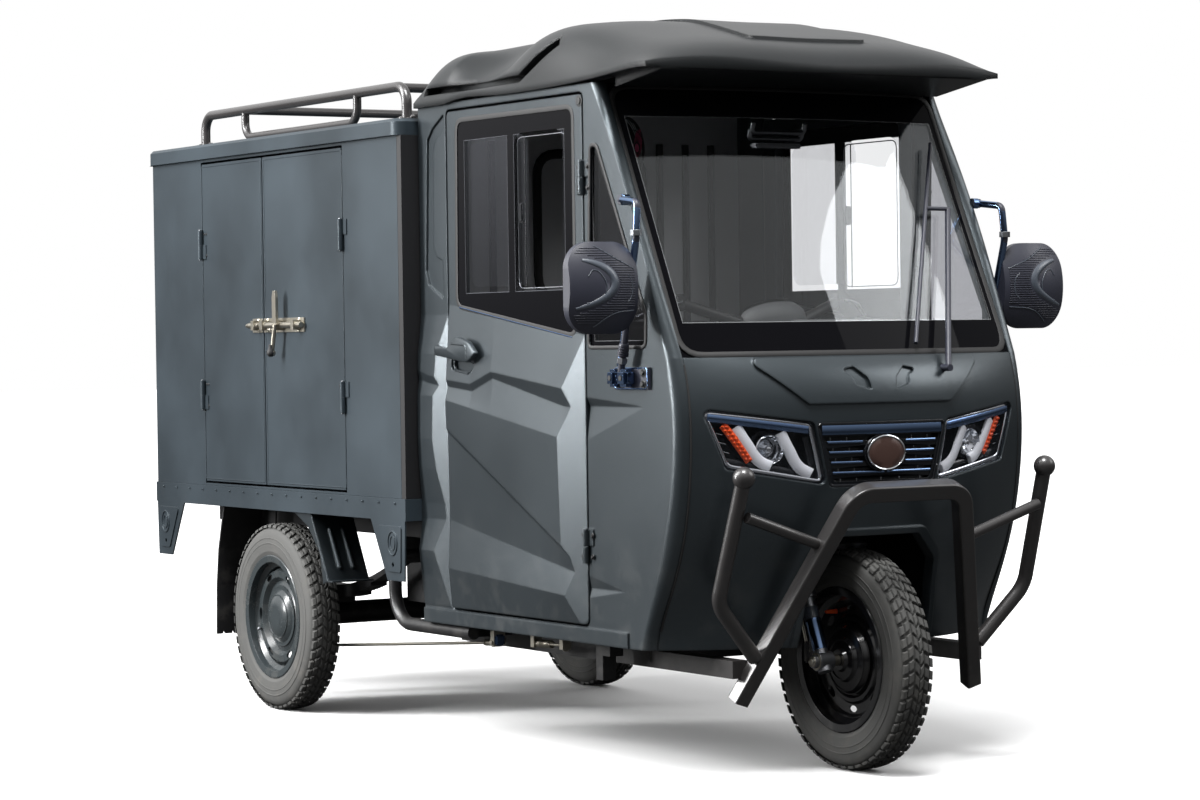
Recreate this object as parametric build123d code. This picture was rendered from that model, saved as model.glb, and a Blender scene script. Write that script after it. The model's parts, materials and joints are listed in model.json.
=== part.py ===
from build123d import *
import math
import os

# Electric cargo tricycle: enclosed cab over one steered front wheel, steel cargo box over a driven
# rear axle. Millimetres. +X is forward, +Y is the vehicle's left, +Z is up, Z = 0 is the ground.
# The parts are modelled from the rear axle (X = 0) and moved at export, so that the middle of the
# whole vehicle's outline stands over the origin.

# Running gear
wheelbase = 1959.0
track = 971.0
tyre_d = 507.0
tyre_w = 94.0
rim_flange_r = 168.0
bead_seat_r = 153.0
rim_w = 84.0
fork_rake = 23.0

# Cargo box
box_length = 1525.0
box_width = 1070.0
box_height = 913.0
box_tail = 728.0            # from the rear axle back to the box's rear face
bed_z = 600.0
bed_rail_h = 56.0
box_wall = 22.0
roof_lip_h = 42.0
roof_lip_out = 12.0
leaf_gap = 6.0              # seam between a door leaf and its neighbours
leaf_rear_w = 390.0
leaf_front_w = 474.0
side_door_front = 326.0     # from the box's front face back to the front leaf's hinge line
rack_rise = 100.0           # top of the rack's rails above the roof
rack_inset = 55.0           # from the box's side in to the rails' centre
rack_tube_d = 26.0

# Cab
cab_gap = 5.0
cab_inset = 48.0            # each side of the cab stands in from the cargo box
cab_wall = 26.0
sill_z = 292.0
sill_h = 40.0
beltline_z = 950.0
eave_z = 1583.0
pillar_in = 28.0            # from the cab's side in to the windshield's edge and the front panel's seam
door_rear = 148.0           # from the cab's rear face to the door's rear edge
door_front = 364.0          # from the front axle back to the door's front edge
door_low_z = 336.0
door_top_z = 1560.0
door_gap = 6.0
glass_t = 5.0
arch_half_w = 170.0
arch_top_z = 543.0

lamp_proud = 30.0           # tail lamps, behind the box's rear face
fit = 0.3                   # gap between pieces that seat on each other
running = 0.08              # radial clearance of a shaft in its bearing
groove_deep = 5.0
hub_cap_r = 81.0

tyre_r = tyre_d / 2
axle_z = tyre_r
wheel_y = track / 2
bead_half = rim_w / 2 - 6
disc_r = bead_seat_r - 16       # where a wheel's disc meets the well of its rim
front_axle_x = wheelbase
box_rear_x = -box_tail
box_front_x = box_rear_x + box_length
box_half_w = box_width / 2
box_top_z = bed_z + box_height
roof_top_z = box_top_z + roof_lip_h
rack_rail_z = roof_top_z + rack_rise
rack_half_w = box_half_w - rack_inset
cab_half_w = box_half_w - cab_inset
pillar_y = cab_half_w - pillar_in
cab_rear_x = box_front_x + cab_gap
door_rear_x = cab_rear_x + door_rear
door_front_x = front_axle_x - door_front
middle_x = (front_axle_x + tyre_r + box_rear_x - lamp_proud) / 2


def block(x0, x1, y0, y1, z0, z1):
    return Pos((x0 + x1) / 2, (y0 + y1) / 2, (z0 + z1) / 2) * Box(x1 - x0, y1 - y0, z1 - z0)


def outline_face(points, radius=0.0):
    face = make_face(Polyline(*points, close=True))
    return fillet(face.vertices(), radius) if radius else face


def side_sheet(points, y0, y1, radius=0.0):
    return extrude(Plane.XZ.offset(-y0) * outline_face(points, radius), amount=y0 - y1)


def front_sheet(points, x0, x1, radius=0.0):
    return extrude(Plane.YZ.offset(x0) * outline_face(points, radius), amount=x1 - x0)


def plan_sheet(points, z0, z1, radius=0.0):
    return extrude(Plane.XY.offset(z0) * outline_face(points, radius), amount=z1 - z0)


def rod(start, end, diameter):
    axis = Line(start, end)
    return extrude(Plane(origin=axis @ 0, z_dir=axis % 0) * Circle(diameter / 2), amount=axis.length)


def bent_bar(points, radius, section, across=None):
    """A bar of one section along straight runs and bends; across is the section's own x direction."""
    part = None
    for run in FilletPolyline(*points, radius=radius).edges():
        place = Plane(origin=run @ 0, x_dir=across, z_dir=run % 0)
        if run.geom_type == GeomType.LINE:
            piece = extrude(place * section, amount=run.length)
        else:
            spoke = (run @ 0) - run.arc_center
            turn = Axis(run.arc_center, spoke.cross(run % 0))
            piece = revolve(place * section, turn, math.degrees(run.length / spoke.length))
        part = piece if part is None else part + piece
    return part


def tube_path(points, radius, diameter):
    return bent_bar(points, radius, Circle(diameter / 2))


def left_of(part):
    return mirror(part, about=Plane.XZ)


# ---------------------------------------------------------------- wheels

def tyre():
    half = tyre_w / 2
    bead_r, shoulder_r, tread_half = rim_flange_r + 2, tyre_r - 16, half - 22
    profile = [Line((bead_seat_r + 0.2, -bead_half), (bead_r, -bead_half)),
               ThreePointArc((bead_r, -bead_half), ((bead_r + shoulder_r) / 2, -half),
                             (shoulder_r, -half + 4)),
               ThreePointArc((shoulder_r, -half + 4), (tyre_r - 5, -half + 12), (tyre_r, -tread_half)),
               Line((tyre_r, -tread_half), (tyre_r, tread_half)),
               ThreePointArc((tyre_r, tread_half), (tyre_r - 5, half - 12), (shoulder_r, half - 4)),
               ThreePointArc((shoulder_r, half - 4), ((bead_r + shoulder_r) / 2, half), (bead_r, bead_half)),
               Line((bead_r, bead_half), (bead_seat_r + 0.2, bead_half)),
               Line((bead_seat_r + 0.2, bead_half), (bead_seat_r + 0.2, -bead_half))]
    ring = revolve(make_face(profile), axis=Axis.Y)
    for y in (-tread_half * 0.55, tread_half * 0.55):
        groove = make_face(Polyline((tyre_r - groove_deep, y - 2), (tyre_r + 1, y - 3), (tyre_r + 1, y + 3),
                                    (tyre_r - groove_deep, y + 2), close=True))
        ring -= revolve(groove, axis=Axis.Y)
    return ring


def rim_barrel():
    """Drop-centre rim: bead seats, turned-up flanges and the well between them."""
    half = rim_w / 2
    well_r = bead_seat_r - 18
    outer = [(bead_seat_r, -half + 6), (bead_seat_r, -half + 22), (well_r + 5, -half + 30),
             (well_r + 5, half - 30),
             (bead_seat_r, half - 22), (bead_seat_r, half - 6), (rim_flange_r - 3, half - 4),
             (rim_flange_r, half - 1)]
    inner = [(rim_flange_r - 3, half + 1), (bead_seat_r - 5, half - 1), (bead_seat_r - 5, half - 20),
             (well_r, half - 28), (well_r, -half + 28), (bead_seat_r - 5, -half + 20),
             (bead_seat_r - 5, -half + 1),
             (rim_flange_r - 3, -half - 1), (rim_flange_r, -half + 1), (rim_flange_r - 3, -half + 4)]
    return revolve(make_face(Polyline(*outer, *inner, close=True)), axis=Axis.Y)


def windows(count, radius, half_wide, half_high):
    """Slots through a wheel's disc, set round it."""
    slots = None
    for k in range(count):
        turn = Rot(0, 360 / count * k, 0) * Pos(radius, 0, 0) * Rot(90, 0, 0)
        slot = turn * extrude(Ellipse(half_wide, half_high), 30, both=True)
        slots = slot if slots is None else slots + slot
    return slots


def rear_rim(side):
    """Steel wheel whose disc swells to a ring of slots, with a domed hub cap."""
    face = [(0, 12), (84, 12), (96, 7), (106, 20), (124, 20), (disc_r, -3)]
    back = [(disc_r, -9), (122, 14), (108, 14), (98, 1), (84, 6), (0, 6)]
    rim = rim_barrel() + revolve(make_face(Polyline(*[(r, side * y) for r, y in face + back], close=True)),
                                 axis=Axis.Y)
    cap = make_face([Line((0, side * 11), (hub_cap_r, side * 11)),
                     Line((hub_cap_r, side * 11), (hub_cap_r, side * 15)),
                     Line((hub_cap_r, side * 15), (hub_cap_r - 9, side * 15)),
                     ThreePointArc((hub_cap_r - 9, side * 15), (hub_cap_r - 22, side * 24), (0, side * 29)),
                     Line((0, side * 29), (0, side * 11))])
    rim += revolve(cap, axis=Axis.Y)
    boss = extrude(Plane.XZ.offset(-side * 27) * fillet(Rectangle(56, 44).vertices(), 12), amount=-side * 6)
    return rim + boss - windows(6, 115, 8, 17)


def front_rim():
    """Steel wheel with pressed rings round the brake drum."""
    disc = [(60, -3), (84, -3), (90, -10), (98, -10), (104, -3), (126, -5), (disc_r, -3), (disc_r, 3),
            (126, 1), (104, 3), (60, 3)]
    bore = 8 + running
    drum = [(bore, -44), (24, -44), (28, -36), (46, -33), (52, -26), (72, -23), (80, -12), (80, 26),
            (40, 38), (bore, 38)]
    rim = rim_barrel()
    for points in (disc, drum):
        rim += revolve(make_face(Polyline(*points, close=True)), axis=Axis.Y)
    return rim - windows(8, 115, 8, 16)


# ---------------------------------------------------------------- chassis

rail_y = 330.0
rail_h = 60.0
rail_w = 40.0
rail_low_z = sill_z - rail_h - fit
rail_kick_x = cab_rear_x - 60.0
rail_front_x = front_axle_x - 320.0
outrigger_y = cab_half_w - 24
outrigger_d = 34.0
bed_low_z = bed_z - bed_rail_h
rail_high_z = bed_low_z - rail_h - fit


def chassis_rail(y):
    low, high, thick = rail_low_z, rail_high_z, rail_h
    points = [(rail_front_x, low), (rail_kick_x, low), (rail_kick_x - 170, high),
              (box_rear_x + 20, high), (box_rear_x + 20, high + thick),
              (rail_kick_x - 130, high + thick), (rail_kick_x + 40, low + thick),
              (rail_front_x, low + thick)]
    return side_sheet(points, y - rail_w / 2, y + rail_w / 2)


def cross_bars():
    inner = rail_y - rail_w / 2 - fit
    bars = []
    for x in (-640.0, -300.0, 300.0, 560.0):
        bars.append(block(x - 20, x + 20, -inner, inner, rail_high_z + 10, rail_high_z + 50))
    for x in (900.0, 1240.0, rail_front_x - 30.0):
        bars.append(block(x - 20, x + 20, -inner, inner, rail_low_z + 10, rail_low_z + 50))
    return Compound(children=bars)


steer_dir = Vector(-math.sin(math.radians(fork_rake)), 0, math.cos(math.radians(fork_rake)))
steer_origin = Vector(front_axle_x, 0, axle_z)


def along_fork(distance, y=0.0):
    point = steer_origin + steer_dir * distance
    return (point.X, y, point.Z)


fork_leg_y = 85.0
hub_half = 44.0
crown_at = 282.0
head_low = 320.0
head_high = 500.0
bar_at = 830.0
stem_r = 20.0
brace_x = rail_front_x - 40.0
brace_y = 120.0


def head_tube():
    outer = rod(along_fork(head_low), along_fork(head_high), 60)
    bore = rod(along_fork(head_low - 5), along_fork(head_high + 5), 2 * stem_r)
    brace_end = along_fork(head_high - 26)
    tube = outer
    for s in (-1, 1):
        tube += tube_path([(brace_x, s * brace_y, rail_low_z + 50 + fit),
                           (brace_x, s * brace_y, brace_end[2] + 8),
                           (brace_end[0], s * 4, brace_end[2])], 50, 34)
    return tube - bore


def fork():
    """Telescopic legs with end bosses, crown, steering stem and the wheel's axle."""
    part = None
    for s in (-1, 1):
        y = s * fork_leg_y
        leg = rod(along_fork(-26, y), along_fork(190, y), 34)
        leg += rod(along_fork(180, y), along_fork(crown_at + 22, y), 24)
        leg += rod(along_fork(150, y), along_fork(crown_at - 10, y), 46)
        leg += rod((front_axle_x, y - 19, axle_z), (front_axle_x, y + 19, axle_z), 44)
        part = leg if part is None else part + leg
    crown = fillet(Rectangle(2 * fork_leg_y + 52, 60).vertices(), 24)
    part += extrude(Plane(origin=along_fork(crown_at), z_dir=steer_dir, x_dir=(0, 1, 0)) * crown, amount=14,
                    both=True)
    part += rod(along_fork(crown_at), along_fork(bar_at - 20), 2 * (stem_r - running))
    part += rod((front_axle_x, -fork_leg_y - 34, axle_z), (front_axle_x, fork_leg_y + 34, axle_z), 16)
    for reach, out, d in ((hub_half + 1, fork_leg_y - 17, 26), (fork_leg_y + 17, fork_leg_y + 29, 30)):
        collar = rod((front_axle_x, -out, axle_z), (front_axle_x, -reach, axle_z), d)
        part += collar + left_of(collar)
    return part


def handlebar():
    hub = along_fork(bar_at)
    bar = tube_path([(hub[0] - 120, -330, hub[2] + 30), (hub[0] - 40, -230, hub[2] + 60),
                     (hub[0], -90, hub[2] + 12), (hub[0], 90, hub[2] + 12),
                     (hub[0] - 40, 230, hub[2] + 60), (hub[0] - 120, 330, hub[2] + 30)], 40, 26)
    clamp = rod(along_fork(bar_at - 19.5), along_fork(bar_at + 26), 54)
    return bar + clamp


case_r = 88.0
motor_r = 70.0


def rear_axle():
    tube = rod((0, -wheel_y + 42, axle_z), (0, wheel_y - 42, axle_z), 62)
    spindle = rod((0, -wheel_y - 6 + fit, axle_z), (0, wheel_y + 6 - fit, axle_z), 44)
    case = Pos(0, 40, axle_z) * Sphere(case_r)
    part = tube + case + spindle
    for s in (-1, 1):
        part += rod((0, s * (wheel_y - 58), axle_z), (0, s * (wheel_y - 30), axle_z), 210)
    return part


def drive_motor():
    x = case_r + motor_r + fit
    return rod((x, -60, axle_z + 10), (x, 150, axle_z + 10), 2 * motor_r)


def leaf_strip(reach, low, rise):
    ends = rise * (reach / 430) ** 2
    under = ThreePointArc((-reach, low + ends), (0, low), (reach, low + ends))
    over = ThreePointArc((reach, low + ends + leaf_t), (0, low + leaf_t), (-reach, low + ends + leaf_t))
    return make_face([under, Line(under @ 1, over @ 0), over, Line(over @ 1, under @ 0)])


leaf_t = 9.0
spring_w = 50.0
eye_z = 440.0


def leaf_spring(y):
    seat = axle_z + 31 + fit
    part = block(-45, 45, y - 34, y + 34, seat, seat + 14)
    for k in range(4):
        low = seat + 13 + leaf_t * (3 - k)
        strip = leaf_strip(430.0 - 90.0 * k, low, eye_z - 10 - seat - 13 - 3 * leaf_t)
        part += extrude(Plane.XZ.offset(-y) * strip, amount=spring_w / 2, both=True)
    for x in (-432, 432):
        part += rod((x, y - 30, eye_z - 6), (x, y + 30, eye_z - 6), 44)
        part += block(x - 16, x + 16, y - 34, y + 34, eye_z - 6, rail_high_z - fit)
    return part


# ---------------------------------------------------------------- cargo box

def bed_frame():
    half = box_half_w + 3
    x0, x1 = box_rear_x - 4, box_front_x + 2
    rim = block(x0, x1, -half, half, bed_low_z, bed_z - fit)
    rim -= block(x0 + 40, x1 - 40, -half + 40, half - 40, bed_low_z - 1, bed_z + 1)
    for x in (-400.0, 0.0, 400.0):
        rim += block(x - 20, x + 20, -half + 30, half - 30, bed_low_z + 8, bed_z - fit)
    for s in (-1, 1):
        outer, inner = s * half, s * (half - 4)
        y0, y1 = min(outer, inner), max(outer, inner)
        for x, way in ((box_rear_x + 2, 1), (box_front_x - 2, -1)):
            plate = [(x + way * 6, 392), (x + way * 98, 392), (x + way * 186, bed_low_z + 2),
                     (x, bed_low_z + 2)]
            rim += side_sheet(plate, y0, y1)
            panel = [(x + way * 22, 414), (x + way * 86, 414), (x + way * 150, bed_low_z - 14),
                     (x + way * 18, bed_low_z - 14)]
            rim += side_sheet(panel, *sorted((outer, s * (half + 3))), 8)
            rim -= rod((x + way * 62, s * (half - 6), 432), (x + way * 62, s * (half + 6), 432), 12)
    return rim


floor_top = bed_z + 4


def box_floor():
    half = box_half_w - box_wall - fit
    return block(box_rear_x + box_wall + fit, box_front_x - box_wall - fit, -half, half, bed_z, floor_top)


side_front_x = box_front_x - side_door_front
side_mid_x = side_front_x - leaf_front_w
side_rear_x = side_mid_x - leaf_rear_w
leaf_low_z = floor_top + 8
leaf_top_z = box_top_z - 14


def box_front_wall():
    return block(box_front_x - box_wall, box_front_x, -box_half_w + fit, box_half_w - fit,
                 bed_z, box_top_z - fit)


def box_side(s, with_doors):
    y0, y1 = sorted((s * box_half_w, s * (box_half_w - box_wall)))
    wall = block(box_rear_x + box_wall + fit, box_front_x - box_wall - fit, y0, y1, bed_z, box_top_z - fit)
    if with_doors:
        wall -= block(side_rear_x - leaf_gap / 2, side_front_x + leaf_gap / 2, y0 - 1, y1 + 1,
                      leaf_low_z - leaf_gap, leaf_top_z + leaf_gap)
        for x, way in ((side_rear_x, -1), (side_front_x, 1)):
            wall += knuckles(x, -box_half_w, way, side_hinge_z, 1, 0)
    return wall


def box_rear_frame():
    half = box_half_w - fit
    frame = block(box_rear_x, box_rear_x + box_wall, -half, half, bed_z, box_top_z - fit)
    stile = box_half_w - tail_stile + leaf_gap / 2
    frame -= block(box_rear_x - 1, box_rear_x + box_wall + 1, -stile, stile,
                   leaf_low_z - leaf_gap, leaf_top_z + leaf_gap)
    hinges = tail_knuckles(1, 0)
    return frame + hinges + left_of(hinges)


def box_roof():
    out = roof_lip_out
    x0, x1, half = box_rear_x - out, box_front_x - 1, box_half_w + out
    corners = [(x0, -half), (x1, -half), (x1, half), (x0, half)]
    slab = plan_sheet(corners, box_top_z, box_top_z + roof_lip_h, 30)
    slab = chamfer(slab.faces().sort_by(Axis.Z)[-1].edges(), 8)
    return slab - block(x0 + 26, x1 - 26, -half + 26, half - 26, box_top_z - 1, box_top_z + roof_lip_h - 6)


def roof_rack():
    """Two side frames with U-shaped feet, tied by two cross tubes."""
    rail_at = rack_rail_z - rack_tube_d / 2
    foot = roof_top_z + fit
    rear_x, front_x = box_rear_x + 250.0, box_front_x - 66.0
    loop_rear, loop_front = rear_x + 262.0, front_x - 272.0
    part = None
    for s in (-1, 1):
        y = s * rack_half_w
        frame = tube_path([(rear_x, y, foot), (rear_x, y, rail_at), (front_x, y, rail_at),
                           (front_x, y, foot)],
                          45, rack_tube_d)
        frame += tube_path([(loop_rear, y, rail_at), (loop_rear, y, foot + 11), (loop_front, y, foot + 11),
                            (loop_front, y, rail_at)], 40, 22)
        for x in (rear_x, front_x):
            frame += rod((x, y, foot), (x, y, foot + 5), rack_tube_d + 26)
        part = frame if part is None else part + frame
    for x in (loop_rear, front_x - 70):
        part += rod((x, -rack_half_w, rail_at), (x, rack_half_w, rail_at), 24)
    return part


hinge_d = 14.0
knuckle_h = 40.0
side_hinge_z = (853.0, 1274.0)
tail_hinge_z = (760.0, 1360.0)
tail_stile = 32.0


def knuckles(x, y, way, heights, upper, lift):
    """One side of a pair of butt hinges on a face that looks towards -Y: barrels and their leaves."""
    part = None
    for z in heights:
        z0, z1 = (z + fit / 2, z + knuckle_h) if upper else (z - knuckle_h, z - fit / 2)
        barrel = rod((x, y - hinge_d / 2, z0), (x, y - hinge_d / 2, z1), hinge_d)
        x0, x1 = sorted((x, x + way * 26))
        piece = barrel + block(x0, x1, y - 3, y + lift, z0, z1)
        part = piece if part is None else part + piece
    return part


def tail_knuckles(upper, lift):
    """The same for the right-hand tail door, whose face looks towards -X."""
    at_side = knuckles(0, 0, -1 if upper else 1, tail_hinge_z, upper, lift)
    return Pos(box_rear_x, -box_half_w + tail_stile, 0) * Rot(0, 0, -90) * mirror(at_side, about=Plane.YZ)


def door_leaf_side(x0, x1, hinge_x, way):
    y0, y1 = -box_half_w, -box_half_w + box_wall - 2
    leaf = block(x0 + leaf_gap / 2, x1 - leaf_gap / 2, y0, y1, leaf_low_z, leaf_top_z)
    leaf -= block(x0 + 20, x1 - 20, y0 + 3, y1 + 1, leaf_low_z + 18, leaf_top_z - 18)
    return leaf + knuckles(hinge_x, -box_half_w, way, side_hinge_z, 0, 0)


def tail_door():
    y0, y1 = -box_half_w + tail_stile + leaf_gap / 2, -leaf_gap / 2
    leaf = block(box_rear_x, box_rear_x + box_wall - 2, y0, y1, leaf_low_z, leaf_top_z)
    leaf -= block(box_rear_x + 3, box_rear_x + box_wall, y0 + 18, y1 - 18, leaf_low_z + 18, leaf_top_z - 18)
    return leaf + tail_knuckles(0, 0)


latch_z = 1044.0
bolt_d = 16.0


def slide_bolt(x0, x1, y, grips):
    """A round bolt on its plate along X, held by strap guides at the given places."""
    part = block(x0, x1, y - 3, y, latch_z - 19, latch_z + 19)
    part += rod((x0, y - 4 - bolt_d / 2, latch_z), (x1, y - 4 - bolt_d / 2, latch_z), bolt_d)
    for x in grips:
        part += block(x - 8, x + 8, y - bolt_d - 8, y - 2, latch_z - 13, latch_z + 13)
    return part


def door_latch():
    y = -box_half_w - fit
    seam = side_mid_x + leaf_gap / 2
    part = slide_bolt(seam + 2, seam + 246, y, (seam + 24, seam + 112, seam + 214))
    hasp = side_sheet([(seam + 108, latch_z), (seam + 108, 1118), (seam + 113, 1136), (seam + 125, 1136),
                       (seam + 130, 1118),
                       (seam + 130, latch_z)], y - bolt_d - 14, y - bolt_d - 6)
    handle = rod((seam + 119, y - bolt_d - 10, latch_z + 4), (seam + 101, y - bolt_d - 12, 972), 12)
    return part + hasp + handle + Pos(seam + 101, y - bolt_d - 12, 970) * Sphere(10)


def latch_keeper():
    seam = side_mid_x - leaf_gap / 2
    return slide_bolt(seam - 62, seam - 2, -box_half_w - fit, (seam - 24,))


# ---------------------------------------------------------------- cab

# Plan sections of the cab's skin, seen from the front axle: height, end of the flat side,
# place of the front panel's seam, and middle of the nose.
lower_sections = ((sill_z, -147, -112, 50), (410, -90, -62, 78), (500, -56, -16, 98),
                  (620, -20, 20, 124), (720, -2, 33, 134), (830, -1, 33, 134), (beltline_z, -20, 6, 82))
upper_sections = ((beltline_z, -20, 6, 82), (1110, -76, -72, 0), (1310, -166, -170, -100),
                  (eave_z, -322, -302, -250))


def plan_section(z, side, corner, nose, inset=0.0):
    half = cab_half_w - inset
    seam = pillar_y - inset * 0.7
    rear = cab_rear_x + inset
    side_x, corner_x, middle = (front_axle_x + v - inset for v in (side, corner, nose))
    blend = (0.42 * side_x + 0.58 * corner_x + 4, 0.62 * half + 0.38 * seam + 3)
    right = [Line((rear, -half), (side_x, -half)),
             ThreePointArc((side_x, -half), (blend[0], -blend[1]), (corner_x, -seam))]
    front = ThreePointArc((corner_x, -seam), (middle, 0), (corner_x, seam))
    left = [ThreePointArc((corner_x, seam), blend, (side_x, half)), Line((side_x, half), (rear, half))]
    back = Line((rear, half), (rear, -half))
    return Plane.XY.offset(z) * make_face([*right, front, *left, back])


def cab_loft(sections, inset=0.0, low=0.0, high=0.0):
    rows = [list(row) for row in sections]
    rows[0][0] -= low
    rows[-1][0] += high
    return loft([plan_section(*row, inset=inset) for row in rows])


def cab_skin():
    lower = cab_loft(lower_sections) - cab_loft(lower_sections, cab_wall, 1, 0.0)
    upper = cab_loft(upper_sections) - cab_loft(upper_sections, cab_wall, 0.0, 1)
    return lower, upper


quarter_window = [(front_axle_x - 330, 1440), (front_axle_x - 348, 975), (front_axle_x - 100, 975),
                  (front_axle_x - 98, 1050), (front_axle_x - 300, 1440)]
rear_pillar_x = cab_rear_x + cab_wall


door_hinge_x = door_front_x + door_gap / 2
door_hinge_z = (518.0, 1368.0)
relief_h = 22.0
bevel_run = 97.0

# The pressed lines of a door, bottom to top: height at its rear edge, height at its front edge, and how
# far the line stands out of the cab's flat side. The last one is the belt under the glass.
door_creases = ((door_low_z, door_low_z, 6), (435, 394, 18), (555, 448, 9.5), (773, 460, 13), (785, 472, 20),
                (852, 753, relief_h), (883, 836, 11), (900, 873, 18), (1085, 1003, 0))
# Where the band under the belt climbs to its peak: share of the door's length, rise of the band's two lines.
band_kink = ((0.0, 0, 0), (0.2, -2, -5), (0.36, 37, 29), (0.875, -3, 5), (1.0, 0, 0))
pillar_creases = ((door_low_z, 1), (408, 8.4), (473, 15), (552, 4), (591, 5), (678, 12), (752, 15), (860, 14),
                  (895, 8.4), (917, 12.5), (964, 11), (1013, 5), (1060, 0))


def pressed_section(x, s, lines):
    """One section across a pressed panel, closed inside the flat side it stands on."""
    points = [(s * (cab_half_w + out), z) for z, out in lines]
    ends = [(s * (cab_half_w - 9), lines[-1][0]), (s * (cab_half_w - 9), lines[0][0])]
    return Plane.YZ.offset(x) * make_face(Polyline(*points, *ends, close=True))


def wedge_plan(s, x0, x1, rear_run):
    """Plan of a panel whose relief dies away to nothing at its front end, and over rear_run at its rear."""
    flat, proud = s * cab_half_w, s * (cab_half_w + relief_h)
    rear = [(x0, flat), (x0 + rear_run, proud)] if rear_run else [(x0, proud)]
    return [(x0, s * (cab_half_w - 9)), *rear, (x1 - bevel_run, proud), (x1, flat),
            (x1, s * (cab_half_w - 9))]


def door_relief(s):
    length = door_front_x - door_rear_x
    sections = []
    for share, low_rise, high_rise in band_kink:
        lines = [[z0 + share * (z1 - z0), out] for z0, z1, out in door_creases]
        lines[-3][0] += low_rise
        lines[-2][0] += high_rise
        sections.append(pressed_section(door_rear_x + share * length, s, lines))
    relief = loft(sections, ruled=True)
    relief &= plan_sheet(wedge_plan(s, door_rear_x, door_front_x, 12), door_low_z, 1100)
    return relief & side_sheet(door_points(),
                               *sorted((s * (cab_half_w - 10), s * (cab_half_w + relief_h + 1))), 14)


def pillar_relief(s):
    x0, x1 = cab_rear_x, door_rear_x - door_gap
    sections = []
    for x, rise in ((x0, 9), (x0 + 47, -5), (x1, -18)):
        lines = [[z, out] for z, out in pillar_creases]
        lines[-4][0] += rise
        lines[-5][0] += rise * 0.8
        sections.append(pressed_section(x, s, lines))
    return loft(sections, ruled=True) & plan_sheet(wedge_plan(s, x0, x1, 0), door_low_z, 1100)


def quarter_notches(s):
    """Two creases that run on from the door's lines and fade out towards the front."""
    x = door_front_x + door_gap
    y = s * cab_half_w
    cuts = None
    for top, deep, low, depth, reach in ((863, 840, 754, 9, 262), (455, 420, 394, 5, 168)):
        start = Plane.YZ.offset(x) * make_face(Polyline((y + s, top), (y - s * depth, deep), (y + s, low),
                                                        close=True))
        end = Plane.YZ.offset(x + reach) * make_face(Polyline((y + s, deep + 3), (y + s * 0.5, deep),
                                                              (y + s, deep - 3),
                                                              close=True))
        piece = loft([start, end], ruled=True)
        cuts = piece if cuts is None else cuts + piece
    return cuts


def pillar_groove(s):
    """Pressed C-shaped groove beside the window, with its open side towards the door."""
    outer = [(133, 1558), (72, 1524), (46, 1497), (31, 1172), (45, 1134), (123, 1097)]
    inner = [(119, 1194), (87, 1204), (71, 1229), (75, 1466), (86, 1490), (131, 1515)]
    points = [(cab_rear_x + x, z) for x, z in outer + inner]
    return side_sheet(points, *sorted((s * (cab_half_w - 5), s * (cab_half_w + 5))), 5)


def cab_side(skin_lower, skin_upper, s):
    reach = front_axle_x + 200
    y0, y1 = sorted((s * (pillar_y + fit), s * (cab_half_w + 1)))
    zone = block(cab_rear_x - 1, reach, y0, y1, sill_z - 1, eave_z + 1)
    side = (skin_lower & zone) + (skin_upper & zone)
    y0, y1 = sorted((s * (pillar_y + fit), s * cab_half_w))
    side += block(cab_rear_x, door_rear_x + 30, y0, y1, sill_z, eave_z)
    side += block(door_front_x - 30, door_front_x + 70, y0, y1, sill_z, eave_z - 40)
    opening = side_sheet([(door_rear_x - door_gap, door_low_z - door_gap),
                          (door_front_x + door_gap, door_low_z - door_gap),
                          (door_front_x + door_gap, door_top_z + door_gap),
                          (door_rear_x - door_gap, door_top_z + door_gap)],
                         s * 400 - 100, s * 400 + 100, 18)
    window = side_sheet(quarter_window, s * 400 - 100, s * 400 + 100, 16)
    hinges = knuckles(door_hinge_x, -cab_half_w, 1, door_hinge_z, 1, 0)
    y0, y1 = sorted((s * (cab_half_w - 9), s * (cab_half_w + 4)))
    side += pillar_relief(s) + block(cab_rear_x, front_axle_x - 190, y0, y1, sill_z, sill_z + 36)
    side -= opening + window + pillar_groove(s) + quarter_notches(s)
    return side + (hinges if s < 0 else left_of(hinges))


def windshield_slab(outer, inner, y, low, high):
    front = cab_loft(upper_sections, outer) - cab_loft(upper_sections, inner, 1, 1)
    return front & block(front_axle_x - 420, front_axle_x + 300, -y, y, low, high)


hood_rise = 7.0


def arch_points(grow):
    """The front wheel's opening, or its raised lip where it grows."""
    half, top, foot = arch_half_w + grow, arch_top_z + grow, sill_z - 40
    return [(-half - 12, foot), (-half, top - 60), (-half + 60, top), (half - 60, top), (half, top - 60),
            (half + 12, foot)]


def cab_front(skin_lower):
    y = pillar_y - fit
    panel = skin_lower & block(front_axle_x - 160, front_axle_x + 200, -y, y, sill_z - 1, beltline_z + 1)
    arch = front_sheet(arch_points(0), front_axle_x - 200, front_axle_x + 300, 20)
    skin = cab_loft(lower_sections, -hood_rise) - cab_loft(lower_sections, 2)
    hood = front_sheet([(-330, beltline_z - 2), (-198, 843), (198, 843), (330, beltline_z - 2)],
                       front_axle_x - 60, front_axle_x + 300, 12)
    scoops = [front_sheet([(s * 105, 918), (s * 81, 906), (s * 74, 884), (s * 33, 872), (s * 40, 900),
                           (s * 70, 925)],
                          front_axle_x - 60, front_axle_x + 300, 4) for s in (-1, 1)]
    lip = front_sheet(arch_points(16), front_axle_x - 60, front_axle_x + 300, 30)
    panel += (skin & hood) - scoops[0] - scoops[1]
    panel += skin & lip
    panel -= rod((front_axle_x - 40, wiper_y, wiper_z), (front_axle_x + 200, wiper_y, wiper_z), 16 + 2 * fit)
    return panel - arch - grille_zone(0.0) - lamp_zone(1, 0.0) - lamp_zone(-1, 0.0)


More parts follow.
